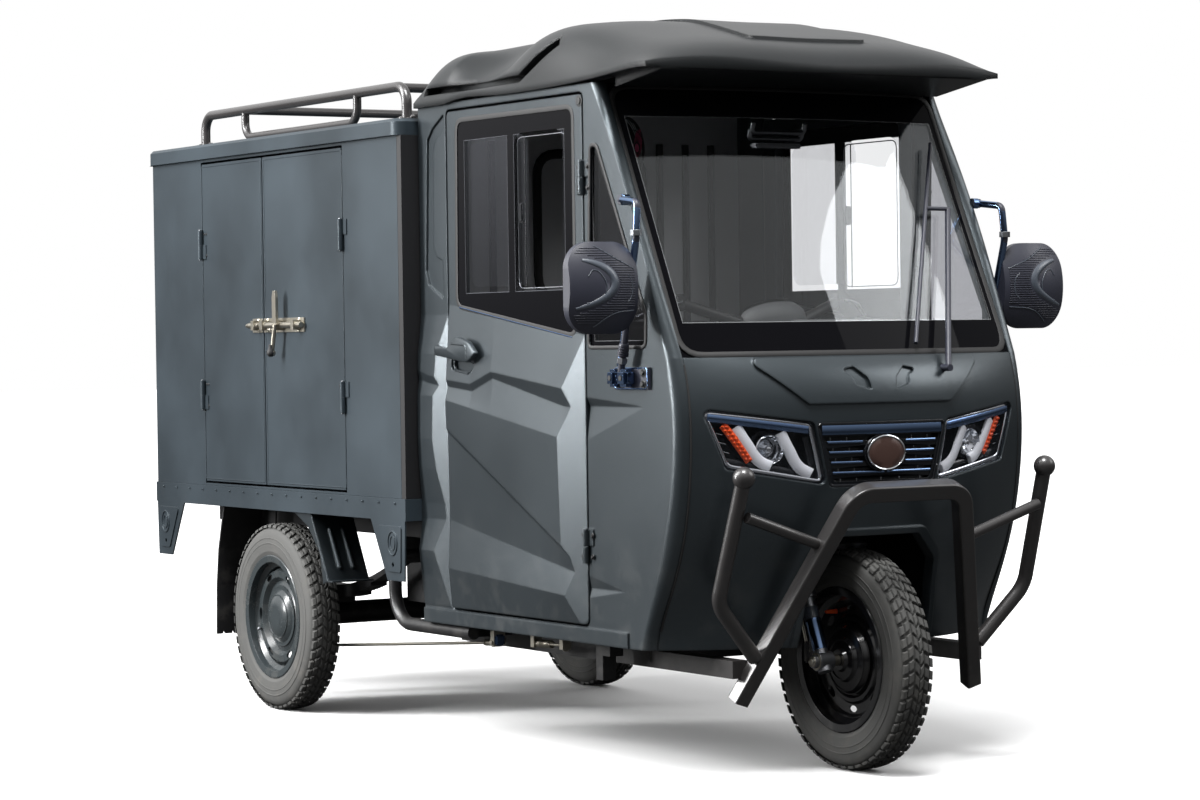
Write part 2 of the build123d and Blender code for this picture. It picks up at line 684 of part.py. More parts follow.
def grille_zone(shrink):
    top, low = 800 - shrink, 656 + shrink
    wide, narrow = 178 - shrink, 145 - shrink
    return front_sheet([(-wide, top), (-narrow, low), (narrow, low), (wide, top)],
                       front_axle_x - 60, front_axle_x + 300, 12)


def lamp_zone(s, shrink):
    points = [(s * (184 + shrink), 803 - shrink), (s * (151 + shrink), 660 + shrink),
              (s * (pillar_y - 74 - shrink), 701 + shrink), (s * (pillar_y - 21 - shrink), 838 - shrink)]
    return front_sheet(points, front_axle_x - 60, front_axle_x + 300, 14)


def front_insert(zone, outer, inner):
    shell = cab_loft(lower_sections, outer) - cab_loft(lower_sections, inner)
    return shell & zone


slat_z = (751.0, 728.0, 705.0, 682.0)
badge_z = 730.0
badge_size = (51.0, 38.0)


def grille():
    """Framed grille: a top bar, faceted slats before a recessed back, and an oval badge left bare."""
    zone, hole = grille_zone(0.5), grille_zone(12)
    part = front_insert(zone - hole, 3, 20) + front_insert(zone, 15, 20)
    bar = front_sheet([(-170, 770), (-170, 799), (170, 799), (170, 770)], front_axle_x - 60,
                      front_axle_x + 300)
    part += front_insert(bar & zone, 1, 19)
    for z in slat_z:
        blade = front_insert(block(front_axle_x - 60, front_axle_x + 300, -178, 178, z - 8, z + 8) & zone, 5,
                             19)
        keep = side_sheet([(front_x(z, 0) - 120, z - 8), (front_x(z, 0) - 14, z - 8),
                           (front_x(z, 0) - 4, z - 1),
                           (front_x(z, 0) - 4, z + 8), (front_x(z, 0) - 120, z + 8)], -178, 178)
        part += blade & Pos(2, 0, 0) * keep
    nose = front_x(badge_z, 0)
    oval = Plane.YZ.offset(nose - 16) * Pos(0, badge_z) * Ellipse(*badge_size)
    ring = Plane.YZ.offset(nose - 16) * Pos(0, badge_z) * Ellipse(badge_size[0] + 6, badge_size[1] + 6)
    return part + extrude(ring, amount=14) + extrude(oval, amount=18)


def headlamp(s):
    """Clear cover over the lamp: a shell 4 mm thick that closes the opening in the front panel."""
    return front_insert(lamp_zone(s, 0.5), 2, 6)


def lamp_housing(s):
    """Bowl behind the cover, with its rim, its reflector cup and the bezel bar across the top."""
    zone = lamp_zone(s, 1)
    y = s * 290
    bowl = front_insert(zone, 52, 56) + front_insert(zone - lamp_zone(s, 5), 6.5, 56)
    cup = rod((front_x(748, y) - 58, y, 748), (front_x(748, y) - 22, y, 748), 74)
    cup -= rod((front_x(748, y) - 50, y, 748), (front_x(748, y) - 10, y, 748), 62)
    bar = front_sheet([(s * 190, 786), (s * 190, 803), (s * 440, 836), (s * 436, 815)], front_axle_x - 60,
                      front_axle_x + 300)
    return bowl + (cup & cab_loft(lower_sections, 7)) + front_insert(bar & zone, 8, 56)


def cab_rear_wall():
    y = pillar_y - fit
    return block(cab_rear_x, cab_rear_x + cab_wall, -y, y, sill_z + sill_h, eave_z)


house_half = 212.0
house_back = 308.0


def cab_floor():
    y = pillar_y - fit
    plate = block(cab_rear_x, front_axle_x - 170, -y, y, sill_z, sill_z + 20)
    well = block(front_axle_x - house_back - fit, front_axle_x, -house_half - fit, house_half + fit,
                 sill_z - 1, sill_z + 60)
    for s in (-1, 1):
        well += rod((brace_x, s * brace_y, sill_z - 1), (brace_x, s * brace_y, sill_z + 30), 34 + 2 * fit)
    return plate - well


def wheel_house():
    x0, x1 = front_axle_x - house_back, front_axle_x + 120
    high = arch_top_z + 90
    outer = side_sheet([(x0, sill_z + fit), (x0, high - 70), (x0 + 60, high - 10), (x1, high),
                        (x1, sill_z + fit)],
                       -house_half, house_half)
    inner = side_sheet([(x0 + 4, sill_z - 5), (x0 + 4, high - 72), (x0 + 62, high - 14), (x1 + 1, high - 4),
                        (x1 + 1, sill_z - 5)], -house_half + 4, house_half - 4)
    hole = rod(along_fork(head_low - 30), along_fork(head_high + 40), 62 + 2 * fit)
    return (outer - inner - hole) & cab_loft(lower_sections, cab_wall + fit)


# The cab roof's sections: distance from the cab's rear face, height of its flange, half width at the
# flange, half width and height of the shoulder, height of the crown.
roof_rear = ((1, -5, 500, 430, 57, 69), (58, -5, 500, 415, 107, 119), (158, -4, 500, 405, 126, 139))
roof_front = ((158, -4, 500, 405, 126, 139), (498, -1, 500, 405, 133, 147), (618, 0, 500, 420, 149, 162),
              (758, 3, 500, 420, 139, 155), (918, 11, 500, 420, 101, 119), (1048, 19, 498, 425, 65, 81),
              (1113, 14, 494, 425, 24, 30))
visor_x = cab_rear_x + 1113.0
roof_t = 12.0


def roof_section(row, inset=0.0, rise=0.0, low=0.0):
    x, flange, half, shoulder, shoulder_up, crown = row
    bottom = eave_z + flange - low
    side_z = max(eave_z + flange + 12 - inset * 0.4, bottom + 1)
    top_z, crown_z = eave_z + shoulder_up - inset + rise, eave_z + crown - inset + rise
    wide, narrow = half - inset * 3.6, shoulder - inset
    edge = Polyline((-wide, side_z), (-wide, bottom), (wide, bottom), (wide, side_z))
    drop = (crown_z - top_z) / 3
    dome = Spline((wide, side_z), (narrow + 6, top_z - drop), (narrow - 44, top_z + drop), (0, crown_z),
                  (44 - narrow, top_z + drop), (-narrow - 6, top_z - drop), (-wide, side_z))
    return Plane.YZ.offset(cab_rear_x + x) * make_face([edge, dome])


def roof_shape(inset=0.0, rise=0.0, low=0.0):
    rear = loft([roof_section(row, inset, rise, low) for row in roof_rear])
    return rear + loft([roof_section(row, inset, rise, low) for row in roof_front])


def cab_roof():
    """Moulded roof: domed shell over the cab, stepped sides, raised front pad and a thin visor."""
    hollow = roof_shape(roof_t, 0.0, 30) & block(cab_rear_x + 28, front_axle_x - 250, -455, 455, eave_z - 40,
                                                 eave_z + 200)
    pad = [(-260, 470), (-150, 700), (-170, 1010), (170, 1010), (150, 700), (260, 470)]
    pad = [(cab_rear_x + x, y) for y, x in pad]
    roof = roof_shape() + (roof_shape(rise=7) & plan_sheet(pad, eave_z + 60, eave_z + 200, 20))
    step = [(48, 41), (519, 41), (590, 78), (678, 115), (690, 98), (606, 57), (530, 22), (48, 22)]
    step = [(cab_rear_x + x, eave_z + z) for x, z in step]
    for s in (-1, 1):
        roof -= side_sheet(step, *sorted((s * 456, s * 520)))
    front = Plane.XY.offset(eave_z - 60) * make_face([
        Polyline((visor_x - 30, -520), (cab_rear_x - 50, -520), (cab_rear_x - 50, 520), (visor_x - 30, 520)),
        ThreePointArc((visor_x - 30, 520), (visor_x, 0), (visor_x - 30, -520))])
    fascia = side_sheet([(front_axle_x - 262, eave_z - 13), (visor_x - 20, eave_z + 14),
                         (visor_x - 20, eave_z + 20),
                         (front_axle_x - 262, eave_z + 24)], -458, 458)
    fascia -= cab_loft(upper_sections, -fit, 0, 60)
    seat = block(cab_rear_x - 5, front_axle_x - 200, -cab_half_w - fit, cab_half_w + fit, eave_z - 30,
                 eave_z + fit)
    inner = block(cab_rear_x + 28, front_axle_x - 250, -455, 455, eave_z - 30, eave_z + 20)
    shell = (roof - hollow - inner - seat) + fascia - cab_loft(upper_sections, -fit, 0, fit)
    return shell & extrude(front, amount=300)


def door_points(inset=0.0):
    return [(door_rear_x + inset, door_low_z + inset), (door_front_x - inset, door_low_z + inset),
            (door_front_x - inset, door_top_z - inset), (door_rear_x + inset, door_top_z - inset)]


def door_window(inset):
    return [(door_rear_x + 48 + inset, door_top_z - 24 - inset), (door_rear_x + 40 + inset, 1076 + inset),
            (door_front_x - 42 - inset, 998 + inset), (door_front_x - 42 - inset, door_top_z - 26 - inset)]


def door_panel():
    """Right-hand door: pressed skin, window pocket, and a paddle handle over its finger cup."""
    proud = cab_half_w + relief_h + 12
    panel = side_sheet(door_points(), -cab_half_w, -cab_half_w + 30, 14) + door_relief(-1)
    opening = side_sheet(door_window(10), -proud, -cab_half_w + 40, 24)
    seat = side_sheet(door_window(0), -proud, -cab_half_w + glass_t + 2, 30)
    at = door_rear_x
    cup = side_sheet([(at + 32, 990), (at + 32, 926), (at + 128, 914), (at + 142, 930), (at + 142, 985)],
                     -proud, -cab_half_w - 1, 10)
    paddle = side_sheet([(at - 20, 986), (at - 20, 961), (at + 139, 942), (at + 184, 963), (at + 150, 992),
                         (at + 91, 1005), (at + 41, 976)], -proud, -cab_half_w - relief_h, 5)
    paddle = chamfer(paddle.faces().sort_by(Axis.Y)[0].edges(), 3)
    stem = block(at + 60, at + 112, -cab_half_w - relief_h - 1, -cab_half_w + 1, 964, 992)
    panel -= opening + seat + cup
    return panel + paddle + stem + knuckles(door_hinge_x, -cab_half_w, -1, door_hinge_z, 0, 0)


def door_glass():
    """Fixed pane with its opening, and the sliding pane pushed back behind it."""
    out = -cab_half_w + 1
    pane = side_sheet(door_window(fit), out, out + glass_t, 30 - fit)
    front = door_front_x - 90
    pane -= side_sheet([(front - 225, 1117), (front, 1117), (front, 1487), (front - 225, 1487)], out - 1,
                       out + 9, 36)
    slider = side_sheet([(front - 450, 1126), (front - 175, 1126), (front - 175, 1485), (front - 450, 1485)],
                        out + glass_t + fit, out + 2 * glass_t + fit, 30)
    return Compound(children=[pane, slider])


def quarter_glass(s):
    y = s * (cab_half_w - 4)
    pane = offset(outline_face(quarter_window, 16), amount=-fit)
    return extrude(Plane.XZ.offset(-y) * pane, amount=s * glass_t)


seat_half = pillar_y - 59


def seat_base():
    x0 = cab_rear_x + cab_wall + fit
    return block(x0, x0 + 430, -seat_half, seat_half, sill_z + 20 + fit, 620)


def seat_cushion():
    x0 = cab_rear_x + cab_wall + fit
    pad = block(x0 + 70, x0 + 430, -seat_half + 10, seat_half - 10, 620 + fit, 700)
    back = block(x0 + 1, x0 + 69, -seat_half + 10, seat_half - 10, 620 + fit, 1060)
    return Compound(children=[fillet(pad.edges(), 16), fillet(back.edges(), 16)])


def dashboard():
    x1 = front_axle_x + 8
    y = pillar_y - fit
    top = side_sheet([(x1 - 180, 905), (x1 + 150, 930), (x1 + 150, 860), (x1 - 40, 840), (x1 - 90, 690),
                      (x1 - 150, 700), (x1 - 210, 860)], -y, y)
    top = top & cab_loft(lower_sections, cab_wall + fit)
    pod = side_sheet([(x1 - 200, 890), (x1 - 190, 1010), (x1 - 150, 1034), (x1 - 100, 1020), (x1 - 60, 915)],
                     -60, 190, 10)
    shaft = rod(along_fork(500), along_fork(800), 110)
    return top + pod - shaft


bar_d = 38.0


def crash_bar():
    """Square-tube hoop, round side loops with ball ends, struts, and arms back to the chassis rails."""
    fx = front_axle_x
    foot, shoulder = (fx + 12, -328, 178), (fx + 219, -148, 646)
    hoop_across = Vector(shoulder[2] - foot[2], 0, foot[0] - shoulder[0])
    bar = fillet(Rectangle(bar_d, bar_d).vertices(), 5)
    part = bent_bar([foot, shoulder, (shoulder[0], 148, shoulder[2]), (foot[0], 328, foot[2])], 60, bar,
                    hoop_across)
    for s in (-1, 1):
        part += tube_path([(fx + 182, s * 418, 687), (fx + 88, s * 429, 406), (fx + 60, s * 312, 278)], 70,
                          bar_d - 4)
        part += rod((fx + 173, s * 405, 600), (fx + 160, s * 200, 530), 25)
        part += Pos(fx + 182, s * 418, 687) * Sphere(25)
        y0, y1 = s * rail_y - 20, s * rail_y + 20
        part += block(rail_front_x + fit, fx + 26, y0, y1, rail_low_z, rail_low_z + 40)
    return part


crown_r = 190.0             # the mirror's crowned back


def mirror_set():
    part = None
    fx = front_axle_x
    y = cab_half_w + fit
    for s in (-1, 1):
        arm = tube_path([(fx - 172, s * (y + 4), 904), (fx - 170, s * (y + 25), 906),
                         (fx - 83, s * (y + 33), 1220),
                         (fx - 86, s * (y + 27), 1299), (fx - 167, s * (y + 19), 1308)], 14, 16)
        head = extrude(fillet(Rectangle(205, 178).vertices(), 60), 26, both=True)
        head &= Pos(0, 0, 26 - crown_r) * Sphere(crown_r)
        head -= Pos(0, 0, -26) * extrude(fillet(Rectangle(187, 160).vertices(), 52), 4, both=True)
        feet = rod((fx - 167, s * y, 1308), (fx - 167, s * (y + 23), 1308), 22)
        y0, y1 = sorted((s * y, s * (y + 8)))
        piece = arm + Pos(fx - 84, s * (y + 119), 1108) * Rot(0, 90, 0) * head + feet
        piece += block(fx - 225, fx - 82, y0, y1, 880, 930)
        part = piece if part is None else part + piece
    return part


def front_x(z, y):
    """How far forward the cab's skin reaches at a height and a place across it."""
    rows = lower_sections if z < beltline_z else upper_sections
    for low, high in zip(rows, rows[1:]):
        if low[0] <= z <= high[0]:
            share = (z - low[0]) / (high[0] - low[0])
            corner, nose = (low[k] + share * (high[k] - low[k]) for k in (2, 3))
            return front_axle_x + nose - (nose - corner) * (y / pillar_y) ** 2
    raise ValueError("no section at this height")


wiper_y = 190.0
wiper_z = 918.0


def wiper():
    root = (front_x(wiper_z, wiper_y) + 40, wiper_y, wiper_z)
    tip = (front_x(1292, 380) + 18, 380, 1292)
    blade = rod((front_x(975, 130) + 16, 130, 975), (front_x(1452, 396) + 16, 396, 1452), 10)
    shaft = rod((root[0] - 48, wiper_y, wiper_z), (root[0] + 8, wiper_y, wiper_z), 16)
    link = rod(tip, (front_x(1292, 307) + 16, 307, 1292), 10)
    return rod(root, tip, 14) + blade + shaft + link


def tail_lamp(s):
    return block(box_rear_x - lamp_proud, box_rear_x - 4 - fit, s * 450 - 70, s * 450 + 70, bed_low_z + 3,
                 bed_z - 4)


def battery_case():
    return block(280, 580, -260, 260, 300, rail_high_z + 10 - fit)


mudguard_in = 78.0          # from the wheel's middle plane to each edge of its mudguards
guard_t = 4.0


def front_mudguard(s):
    """Pressed plate ahead of a rear wheel, with two ribs, a foot flange and an outer cheek."""
    top, low = (250.0, bed_low_z - fit), (345.0, 368.0)
    y0, y1 = sorted((s * (wheel_y - mudguard_in), s * (wheel_y + 44)))
    plate = side_sheet([top, low, (low[0] - guard_t, low[1] - 2), (top[0] - guard_t - 1, top[1])], y0, y1)
    plate += block(low[0] - 4, low[0] + 26, y0, y1, low[1] - 2, low[1] + 2)
    cheek = side_sheet([top, low, (low[0] - 28, low[1] - 8), (300, 440), (232, 508), (150, top[1])],
                       *sorted((s * (wheel_y + 44), s * (wheel_y + 40))))
    for share in (0.36, 0.68):
        y = y0 + share * (y1 - y0)
        rib = rod((top[0] + 22, y, top[1] - 46), (low[0] - 18, y, low[1] + 34), 14)
        plate += rib + Pos(top[0] + 22, y, top[1] - 46) * Sphere(7)
        plate += Pos(low[0] - 18, y, low[1] + 34) * Sphere(7)
    return plate + cheek


def rear_mudguard(s):
    """Moulded guard behind a rear wheel: a bent sheet that ends in a notched flap."""
    back = [(-318, bed_low_z - fit), (-356, 420), (-371, 318), (-376, 180)]
    front = [(-371, 180), (-366, 318), (-350, 422), (-311, bed_low_z - fit)]
    y0, y1 = sorted((s * (wheel_y - 92), s * (wheel_y + 34)))
    guard = side_sheet(back + front, y0, y1)
    cheek = side_sheet([(-311, bed_low_z - fit), (-234, bed_low_z - fit), (-240, 470), (-336, 352), (-366, 330),
                        (-350, 422)], *sorted((s * (wheel_y - 92), s * (wheel_y - 88))))
    for k in range(4):
        y = y0 + 21 + k * 28
        guard -= front_sheet([(y - 4, 178), (y, 191), (y + 4, 178)], -400, -350)
    return guard + cheek


def outrigger(s):
    """Bent tube from under the bed to under the cab's edge, with its stub to the chassis rail."""
    y = s * outrigger_y
    low = sill_z - outrigger_d / 2 - fit
    start, end = box_front_x - 200, box_front_x + 210
    tube = tube_path([(start, y, bed_z - fit), (start, y, low), (end, y, low)], 85, outrigger_d)
    y0, y1 = sorted((s * (rail_y + rail_w / 2 + fit), y))
    return tube + block(end - 40, end - 8, y0, y1, low - 12, low + 12)


def step_bracket(s):
    """Bolted foot under the cab floor, ahead of the door."""
    x = front_axle_x - 425
    y0, y1 = sorted((s * 432, s * 396))
    top = sill_z - fit
    return block(x, x + 30, y0, y1, 200, top) + block(x + 30, x + 62, y0, y1, top - 34, top)


def brake_rods(s):
    """Rod from the brake lever at the rear drum to its crank under the cab."""
    y, rear_z, front_z = s * 420, 176, 250
    crank_x = cab_rear_x + 248
    pull = rod((96, y, rear_z), (crank_x - 20, y, front_z), 8)
    lever = block(84, 100, y - 5, y + 5, rear_z - 8, axle_z - 20)
    lever += rod((92, y, axle_z - 30), (92, s * (wheel_y - 58 - fit), axle_z - 30), 14)
    clevis = rod((crank_x - 46, y, front_z - 2), (crank_x - 8, y, front_z), 16)
    crank = rod((crank_x, y - 16, front_z), (crank_x, y + 16, front_z), 18)
    crank += block(crank_x - 9, crank_x + 9, y - 16, y + 16, front_z, sill_z - fit)
    second = rod((crank_x + 190, y, 262), (crank_x + 330, y, 268), 8)
    second += rod((crank_x + 180, y, 262), (crank_x + 214, y, 263), 16)
    second += block(crank_x + 180, crank_x + 196, y - 12, y + 12, 254, sill_z - fit)
    second += block(crank_x + 316, crank_x + 332, y - 12, y + 12, 258, sill_z - fit)
    return [pull + lever + clevis + crank, second]


def save(name, part):
    moved = Pos(-middle_x, 0, 0) * part
    moved.label = name
    export_step(moved, "parts/" + name + ".step")


def build():
    os.makedirs("parts", exist_ok=True)
    lower, upper = cab_skin()
    save("chassis_rail_right", chassis_rail(-rail_y))
    save("chassis_rail_left", chassis_rail(rail_y))
    save("chassis_cross_bars", cross_bars())
    save("steering_head", head_tube())
    save("rear_axle", rear_axle())
    save("drive_motor", drive_motor())
    save("leaf_springs", leaf_spring(-rail_y) + leaf_spring(rail_y))
    save("battery_case", battery_case())
    save("inner_fenders", Compound(children=[front_mudguard(-1), front_mudguard(1)]))
    save("mud_flaps", Compound(children=[rear_mudguard(-1), rear_mudguard(1)]))
    save("outrigger_tubes", Compound(children=[outrigger(-1), outrigger(1)]))
    save("step_brackets", Compound(children=[step_bracket(-1), step_bracket(1)]))
    save("brake_rods", Compound(children=[rods for s in (-1, 1) for rods in brake_rods(s)]))
    save("bed_frame", bed_frame())
    save("box_floor", box_floor())
    save("box_front_wall", box_front_wall())
    save("box_right_wall", box_side(-1, True))
    save("box_left_wall", box_side(1, False))
    save("box_rear_frame", box_rear_frame())
    save("box_roof", box_roof())
    save("roof_rack", roof_rack())
    save("tail_lamps", Compound(children=[tail_lamp(-1), tail_lamp(1)]))
    save("cargo_leaf_front", door_leaf_side(side_mid_x, side_front_x, side_front_x, -1))
    save("cargo_leaf_rear", door_leaf_side(side_rear_x, side_mid_x, side_rear_x, 1))
    save("cargo_latch", door_latch())
    save("latch_keeper", latch_keeper())
    save("tail_door_right", tail_door())
    save("tail_door_left", left_of(tail_door()))
    save("cab_side_right", cab_side(lower, upper, -1))
    save("cab_side_left", cab_side(lower, upper, 1))
    save("cab_front_panel", cab_front(lower))
    save("cab_rear_wall", cab_rear_wall())
    save("cab_floor", cab_floor())
    save("cab_roof", cab_roof())
    save("wheel_house", wheel_house())
    save("windshield", windshield_slab(5, 5 + glass_t, pillar_y - fit, beltline_z + 1, eave_z - 1))
    save("quarter_glass", Compound(children=[quarter_glass(-1), quarter_glass(1)]))
    save("headlamps", Compound(children=[headlamp(s) for s in (-1, 1)]))
    save("lamp_housings", Compound(children=[lamp_housing(s) for s in (-1, 1)]))
    save("grille", grille())
    save("cab_door_right", door_panel())
    save("cab_door_left", left_of(door_panel()))
    save("door_glass_right", door_glass())
    save("door_glass_left", left_of(door_glass()))
    save("seat_base", seat_base())
    save("seat_cushion", seat_cushion())
    save("dashboard", dashboard())
    save("crash_bar", crash_bar())
    save("mirrors", mirror_set())
    save("wiper", wiper())
    save("fork", fork())
    save("handlebar", handlebar())
    save("front_rim", Pos(front_axle_x, 0, axle_z) * front_rim())
    save("front_tyre", Pos(front_axle_x, 0, axle_z) * tyre())
    for name, s in (("right", -1), ("left", 1)):
        save("rear_rim_" + name, Pos(0, s * wheel_y, axle_z) * rear_rim(s))
        save("rear_tyre_" + name, Pos(0, s * wheel_y, axle_z) * tyre())


build()
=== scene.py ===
import json
import math

import bmesh
import bpy
from mathutils import Matrix, Vector
from mathutils.bvhtree import BVHTree


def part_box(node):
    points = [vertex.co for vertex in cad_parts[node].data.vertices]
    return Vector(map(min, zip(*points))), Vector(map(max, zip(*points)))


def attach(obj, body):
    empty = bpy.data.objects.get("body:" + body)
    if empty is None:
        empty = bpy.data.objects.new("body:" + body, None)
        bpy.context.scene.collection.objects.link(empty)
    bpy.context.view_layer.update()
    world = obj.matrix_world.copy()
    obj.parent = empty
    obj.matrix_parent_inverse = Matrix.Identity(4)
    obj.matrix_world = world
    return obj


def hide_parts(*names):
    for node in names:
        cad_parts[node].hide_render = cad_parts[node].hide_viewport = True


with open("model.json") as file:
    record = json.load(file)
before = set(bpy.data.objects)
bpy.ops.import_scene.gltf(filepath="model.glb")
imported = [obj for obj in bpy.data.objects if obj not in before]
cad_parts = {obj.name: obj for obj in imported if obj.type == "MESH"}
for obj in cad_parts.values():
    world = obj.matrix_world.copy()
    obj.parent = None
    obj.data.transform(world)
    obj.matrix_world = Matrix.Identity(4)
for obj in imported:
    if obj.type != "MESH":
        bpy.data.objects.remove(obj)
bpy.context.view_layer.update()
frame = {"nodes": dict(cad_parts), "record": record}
scene = bpy.context.scene

# Camera: standing off the front right corner, a little above half height
cameraPlace = {"x": 7.38285, "y": -4.4305, "z": 0.9972, "yaw": 31.433, "pitch": -1.0766, "roll": -0.829,
               "lens": 99.06, "sensor": 36.0}


def makeCamera(c):
    yaw, pitch, roll = (math.radians(c[k]) for k in ("yaw", "pitch", "roll"))
    forward = Vector((-math.cos(yaw) * math.cos(pitch), math.sin(yaw) * math.cos(pitch), math.sin(pitch)))
    level = forward.cross(Vector((0, 0, 1))).normalized()
    upright = level.cross(forward)
    right = level * math.cos(roll) + upright * math.sin(roll)
    up = upright * math.cos(roll) - level * math.sin(roll)
    data = bpy.data.cameras.new("camera")
    data.lens = c["lens"]
    data.sensor_width = c["sensor"]
    camera = bpy.data.objects.new("camera", data)
    scene.collection.objects.link(camera)
    turn = Matrix((right, up, -forward)).transposed()
    camera.matrix_world = Matrix.Translation((c["x"], c["y"], c["z"])) @ turn.to_4x4()
    scene.camera = camera


makeCamera(cameraPlace)
scene.view_settings.view_transform = "Standard"


class Num:
    # A shader value that can be used in plain arithmetic
    def __init__(self, maker, socket):
        self.maker, self.socket = maker, socket

    def join(self, operation, *others):
        values = [o.socket if isinstance(o, Num) else o for o in others]
        return self.maker.add("ShaderNodeMath", {"operation": operation}, dict(enumerate(values)))

    def __add__(self, other): return self.join("ADD", self, other)
    def __radd__(self, other): return self.join("ADD", other, self)
    def __sub__(self, other): return self.join("SUBTRACT", self, other)
    def __rsub__(self, other): return self.join("SUBTRACT", other, self)
    def __mul__(self, other): return self.join("MULTIPLY", self, other)
    def __abs__(self): return self.join("ABSOLUTE", self)
    def most(self, other): return self.join("MAXIMUM", self, other)

    def ramp(self, low, high):
        return self.maker.add("ShaderNodeMapRange", {"clamp": True}, {"Value": self, 1: low, 2: high})


class Shader:
    # Builds one material's nodes
    def __init__(self, name, **flat):
        self.material = bpy.data.materials.new(name)
        self.material.use_nodes = True
        self.tree = self.material.node_tree
        self.surface = self.tree.nodes["Principled BSDF"]
        self.out = self.tree.nodes["Material Output"]
        for key, value in flat.items():
            self.surface.inputs[key.replace("_", " ")].default_value = value

    def add(self, kind, settings=None, inputs=None, output=0):
        node = self.tree.nodes.new(kind)
        for key, value in (settings or {}).items():
            if key == "stops":
                ramp = node.color_ramp
                while len(ramp.elements) < len(value):
                    ramp.elements.new(0.5)
                for element, (place, colour) in zip(ramp.elements, value):
                    element.position = place
                    element.color = (*colour, 1.0)
            else:
                setattr(node, key, value)
        for key, value in (inputs or {}).items():
            if isinstance(value, Num):
                value = value.socket
            if isinstance(value, bpy.types.NodeSocket):
                self.tree.links.new(value, node.inputs[key])
            else:
                node.inputs[key].default_value = value
        return Num(self, node.outputs[output])

    def blend(self, share, low, high):
        # Colour between two others
        return self.add("ShaderNodeMix", {"data_type": "RGBA"}, {0: share, 6: low, 7: high}, 2)

    def link(self, value, name):
        self.tree.links.new(value.socket, self.surface.inputs[name])

    def place(self):
        spot = self.add("ShaderNodeTexCoord", output="Object")
        split = self.tree.nodes.new("ShaderNodeSeparateXYZ")
        self.tree.links.new(spot.socket, split.inputs[0])
        return spot, *(Num(self, split.outputs[k]) for k in range(3))

    def noise(self, spot, scale, detail=3.0, rough=0.5):
        return self.add("ShaderNodeTexNoise", None, {"Vector": spot, "Scale": scale, "Detail": detail,
                                                     "Roughness": rough})


def rgb(*values):
    return (*values, 1.0)


paintLook = {"drift": 2.6, "grain_rough": 0.06, "bump": 0.0004, "coat_rough": 0.12, "edge": 0.0016,
             "uneven_and_painted_shade": 0.1}
dustLook = {"scale": 14.0, "top": 0.62, "deep": 0.5, "colour": (0.16, 0.15, 0.135), "rough": 0.4,
            "amount": 0.25}


def paint(name, look):
    # Sprayed paint: fine grain, slow drift of tone and gloss, softened edges and dust low down; where a look
    # sets the drift high it is also painted shade, patches made darker and lighter in place of uneven light
    m = Shader(name)
    spot, _, _, z = m.place()
    fine = m.noise(spot, look["grain"], 3.0, 0.6)
    drift = m.noise(spot, paintLook["drift"], 4.0)
    # strength of the drift: random unevenness of the paint, and on the box also painted shade over its leaves
    uneven_and_painted_shade = look.get("uneven_and_painted_shade", paintLook["uneven_and_painted_shade"])
    dark, light = (rgb(*(c * share for c in look["colour"])) for share in (1.0 - uneven_and_painted_shade, 1.0 + uneven_and_painted_shade))
    tone = m.blend(drift.ramp(0.3, 0.7), dark, light)
    patches = m.noise(spot, dustLook["scale"], 6.0, 0.65).ramp(0.5, 0.75)
    dust = patches * (dustLook["top"] - z).ramp(0.0, dustLook["deep"]) * look.get("dust", dustLook["amount"])
    m.link(m.blend(dust, tone, rgb(*dustLook["colour"])), "Base Color")
    gloss = look["rough"] + (drift - 0.5) * uneven_and_painted_shade + (fine - 0.5) * paintLook["grain_rough"]
    m.link(gloss + dust * dustLook["rough"], "Roughness")
    soft = m.add("ShaderNodeBevel", {"samples": 3}, {"Radius": look.get("edge", paintLook["edge"])})
    bump = m.add("ShaderNodeBump", None, {"Strength": look["depth"], "Distance": paintLook["bump"],
                                          "Height": fine, "Normal": soft})
    m.link(bump, "Normal")
    m.surface.inputs["Metallic"].default_value = look.get("metal", 0.0)
    m.surface.inputs["Coat Weight"].default_value = look.get("coat", 0.0)
    m.surface.inputs["Coat Roughness"].default_value = paintLook["coat_rough"]
    m.surface.inputs["Specular IOR Level"].default_value = look.get("spec", 0.5)
    # tint of the reflections: on the body and box paint a painted blue that stands in for bluish sky light
    m.surface.inputs["Specular Tint"].default_value = rgb(*look.get("painted_sky_tint", (1.0, 1.0, 1.0)))
    return m.material


glassLook = {"refraction": 1.5, "gloss": 0.14, "smear": 9.0, "rough": 0.02, "smear_rough": 0.1}


def glassMaterial(name, look, border=None):
    # Clear pane: its border is black print, and the rest mirrors a little and lets light through
    m = Shader(name, Specular_IOR_Level=look.get("gloss", glassLook["gloss"]))
    spot, x, y, z = m.place()
    smear = m.noise(spot, glassLook["smear"], 5.0, 0.6).ramp(0.55, 0.9)
    m.link(glassLook["rough"] + smear * glassLook["smear_rough"], "Roughness")
    edge = border(x, y, z) if border else None
    clear = m.tree.nodes.new("ShaderNodeBsdfTransparent")
    clear.inputs["Color"].default_value = rgb(*look["tint"])
    # seen from inside the pane the index is the other way up
    inside = m.add("ShaderNodeNewGeometry", output="Backfacing")
    index = glassLook["refraction"]
    fresnel = m.add("ShaderNodeFresnel", None, {"IOR": index - inside * (index - 1 / index)})
    share = (fresnel * look.get("shine", 1.0)).most(look["veil"])
    if edge:
        share = share.most(edge)
        m.link(m.blend(edge, rgb(*look["mirror"]), rgb(*look["body"])), "Base Color")
        m.link(1.0 - edge, "Metallic")
    else:
        m.surface.inputs["Base Color"].default_value = rgb(*look["mirror"])
        m.surface.inputs["Metallic"].default_value = 1.0
    mix = m.tree.nodes.new("ShaderNodeMixShader")
    m.tree.links.new(share.socket, mix.inputs[0])
    m.tree.links.new(clear.outputs[0], mix.inputs[1])
    m.tree.links.new(m.surface.outputs[0], mix.inputs[2])
    m.tree.links.new(mix.outputs[0], m.out.inputs["Surface"])
    return m.material


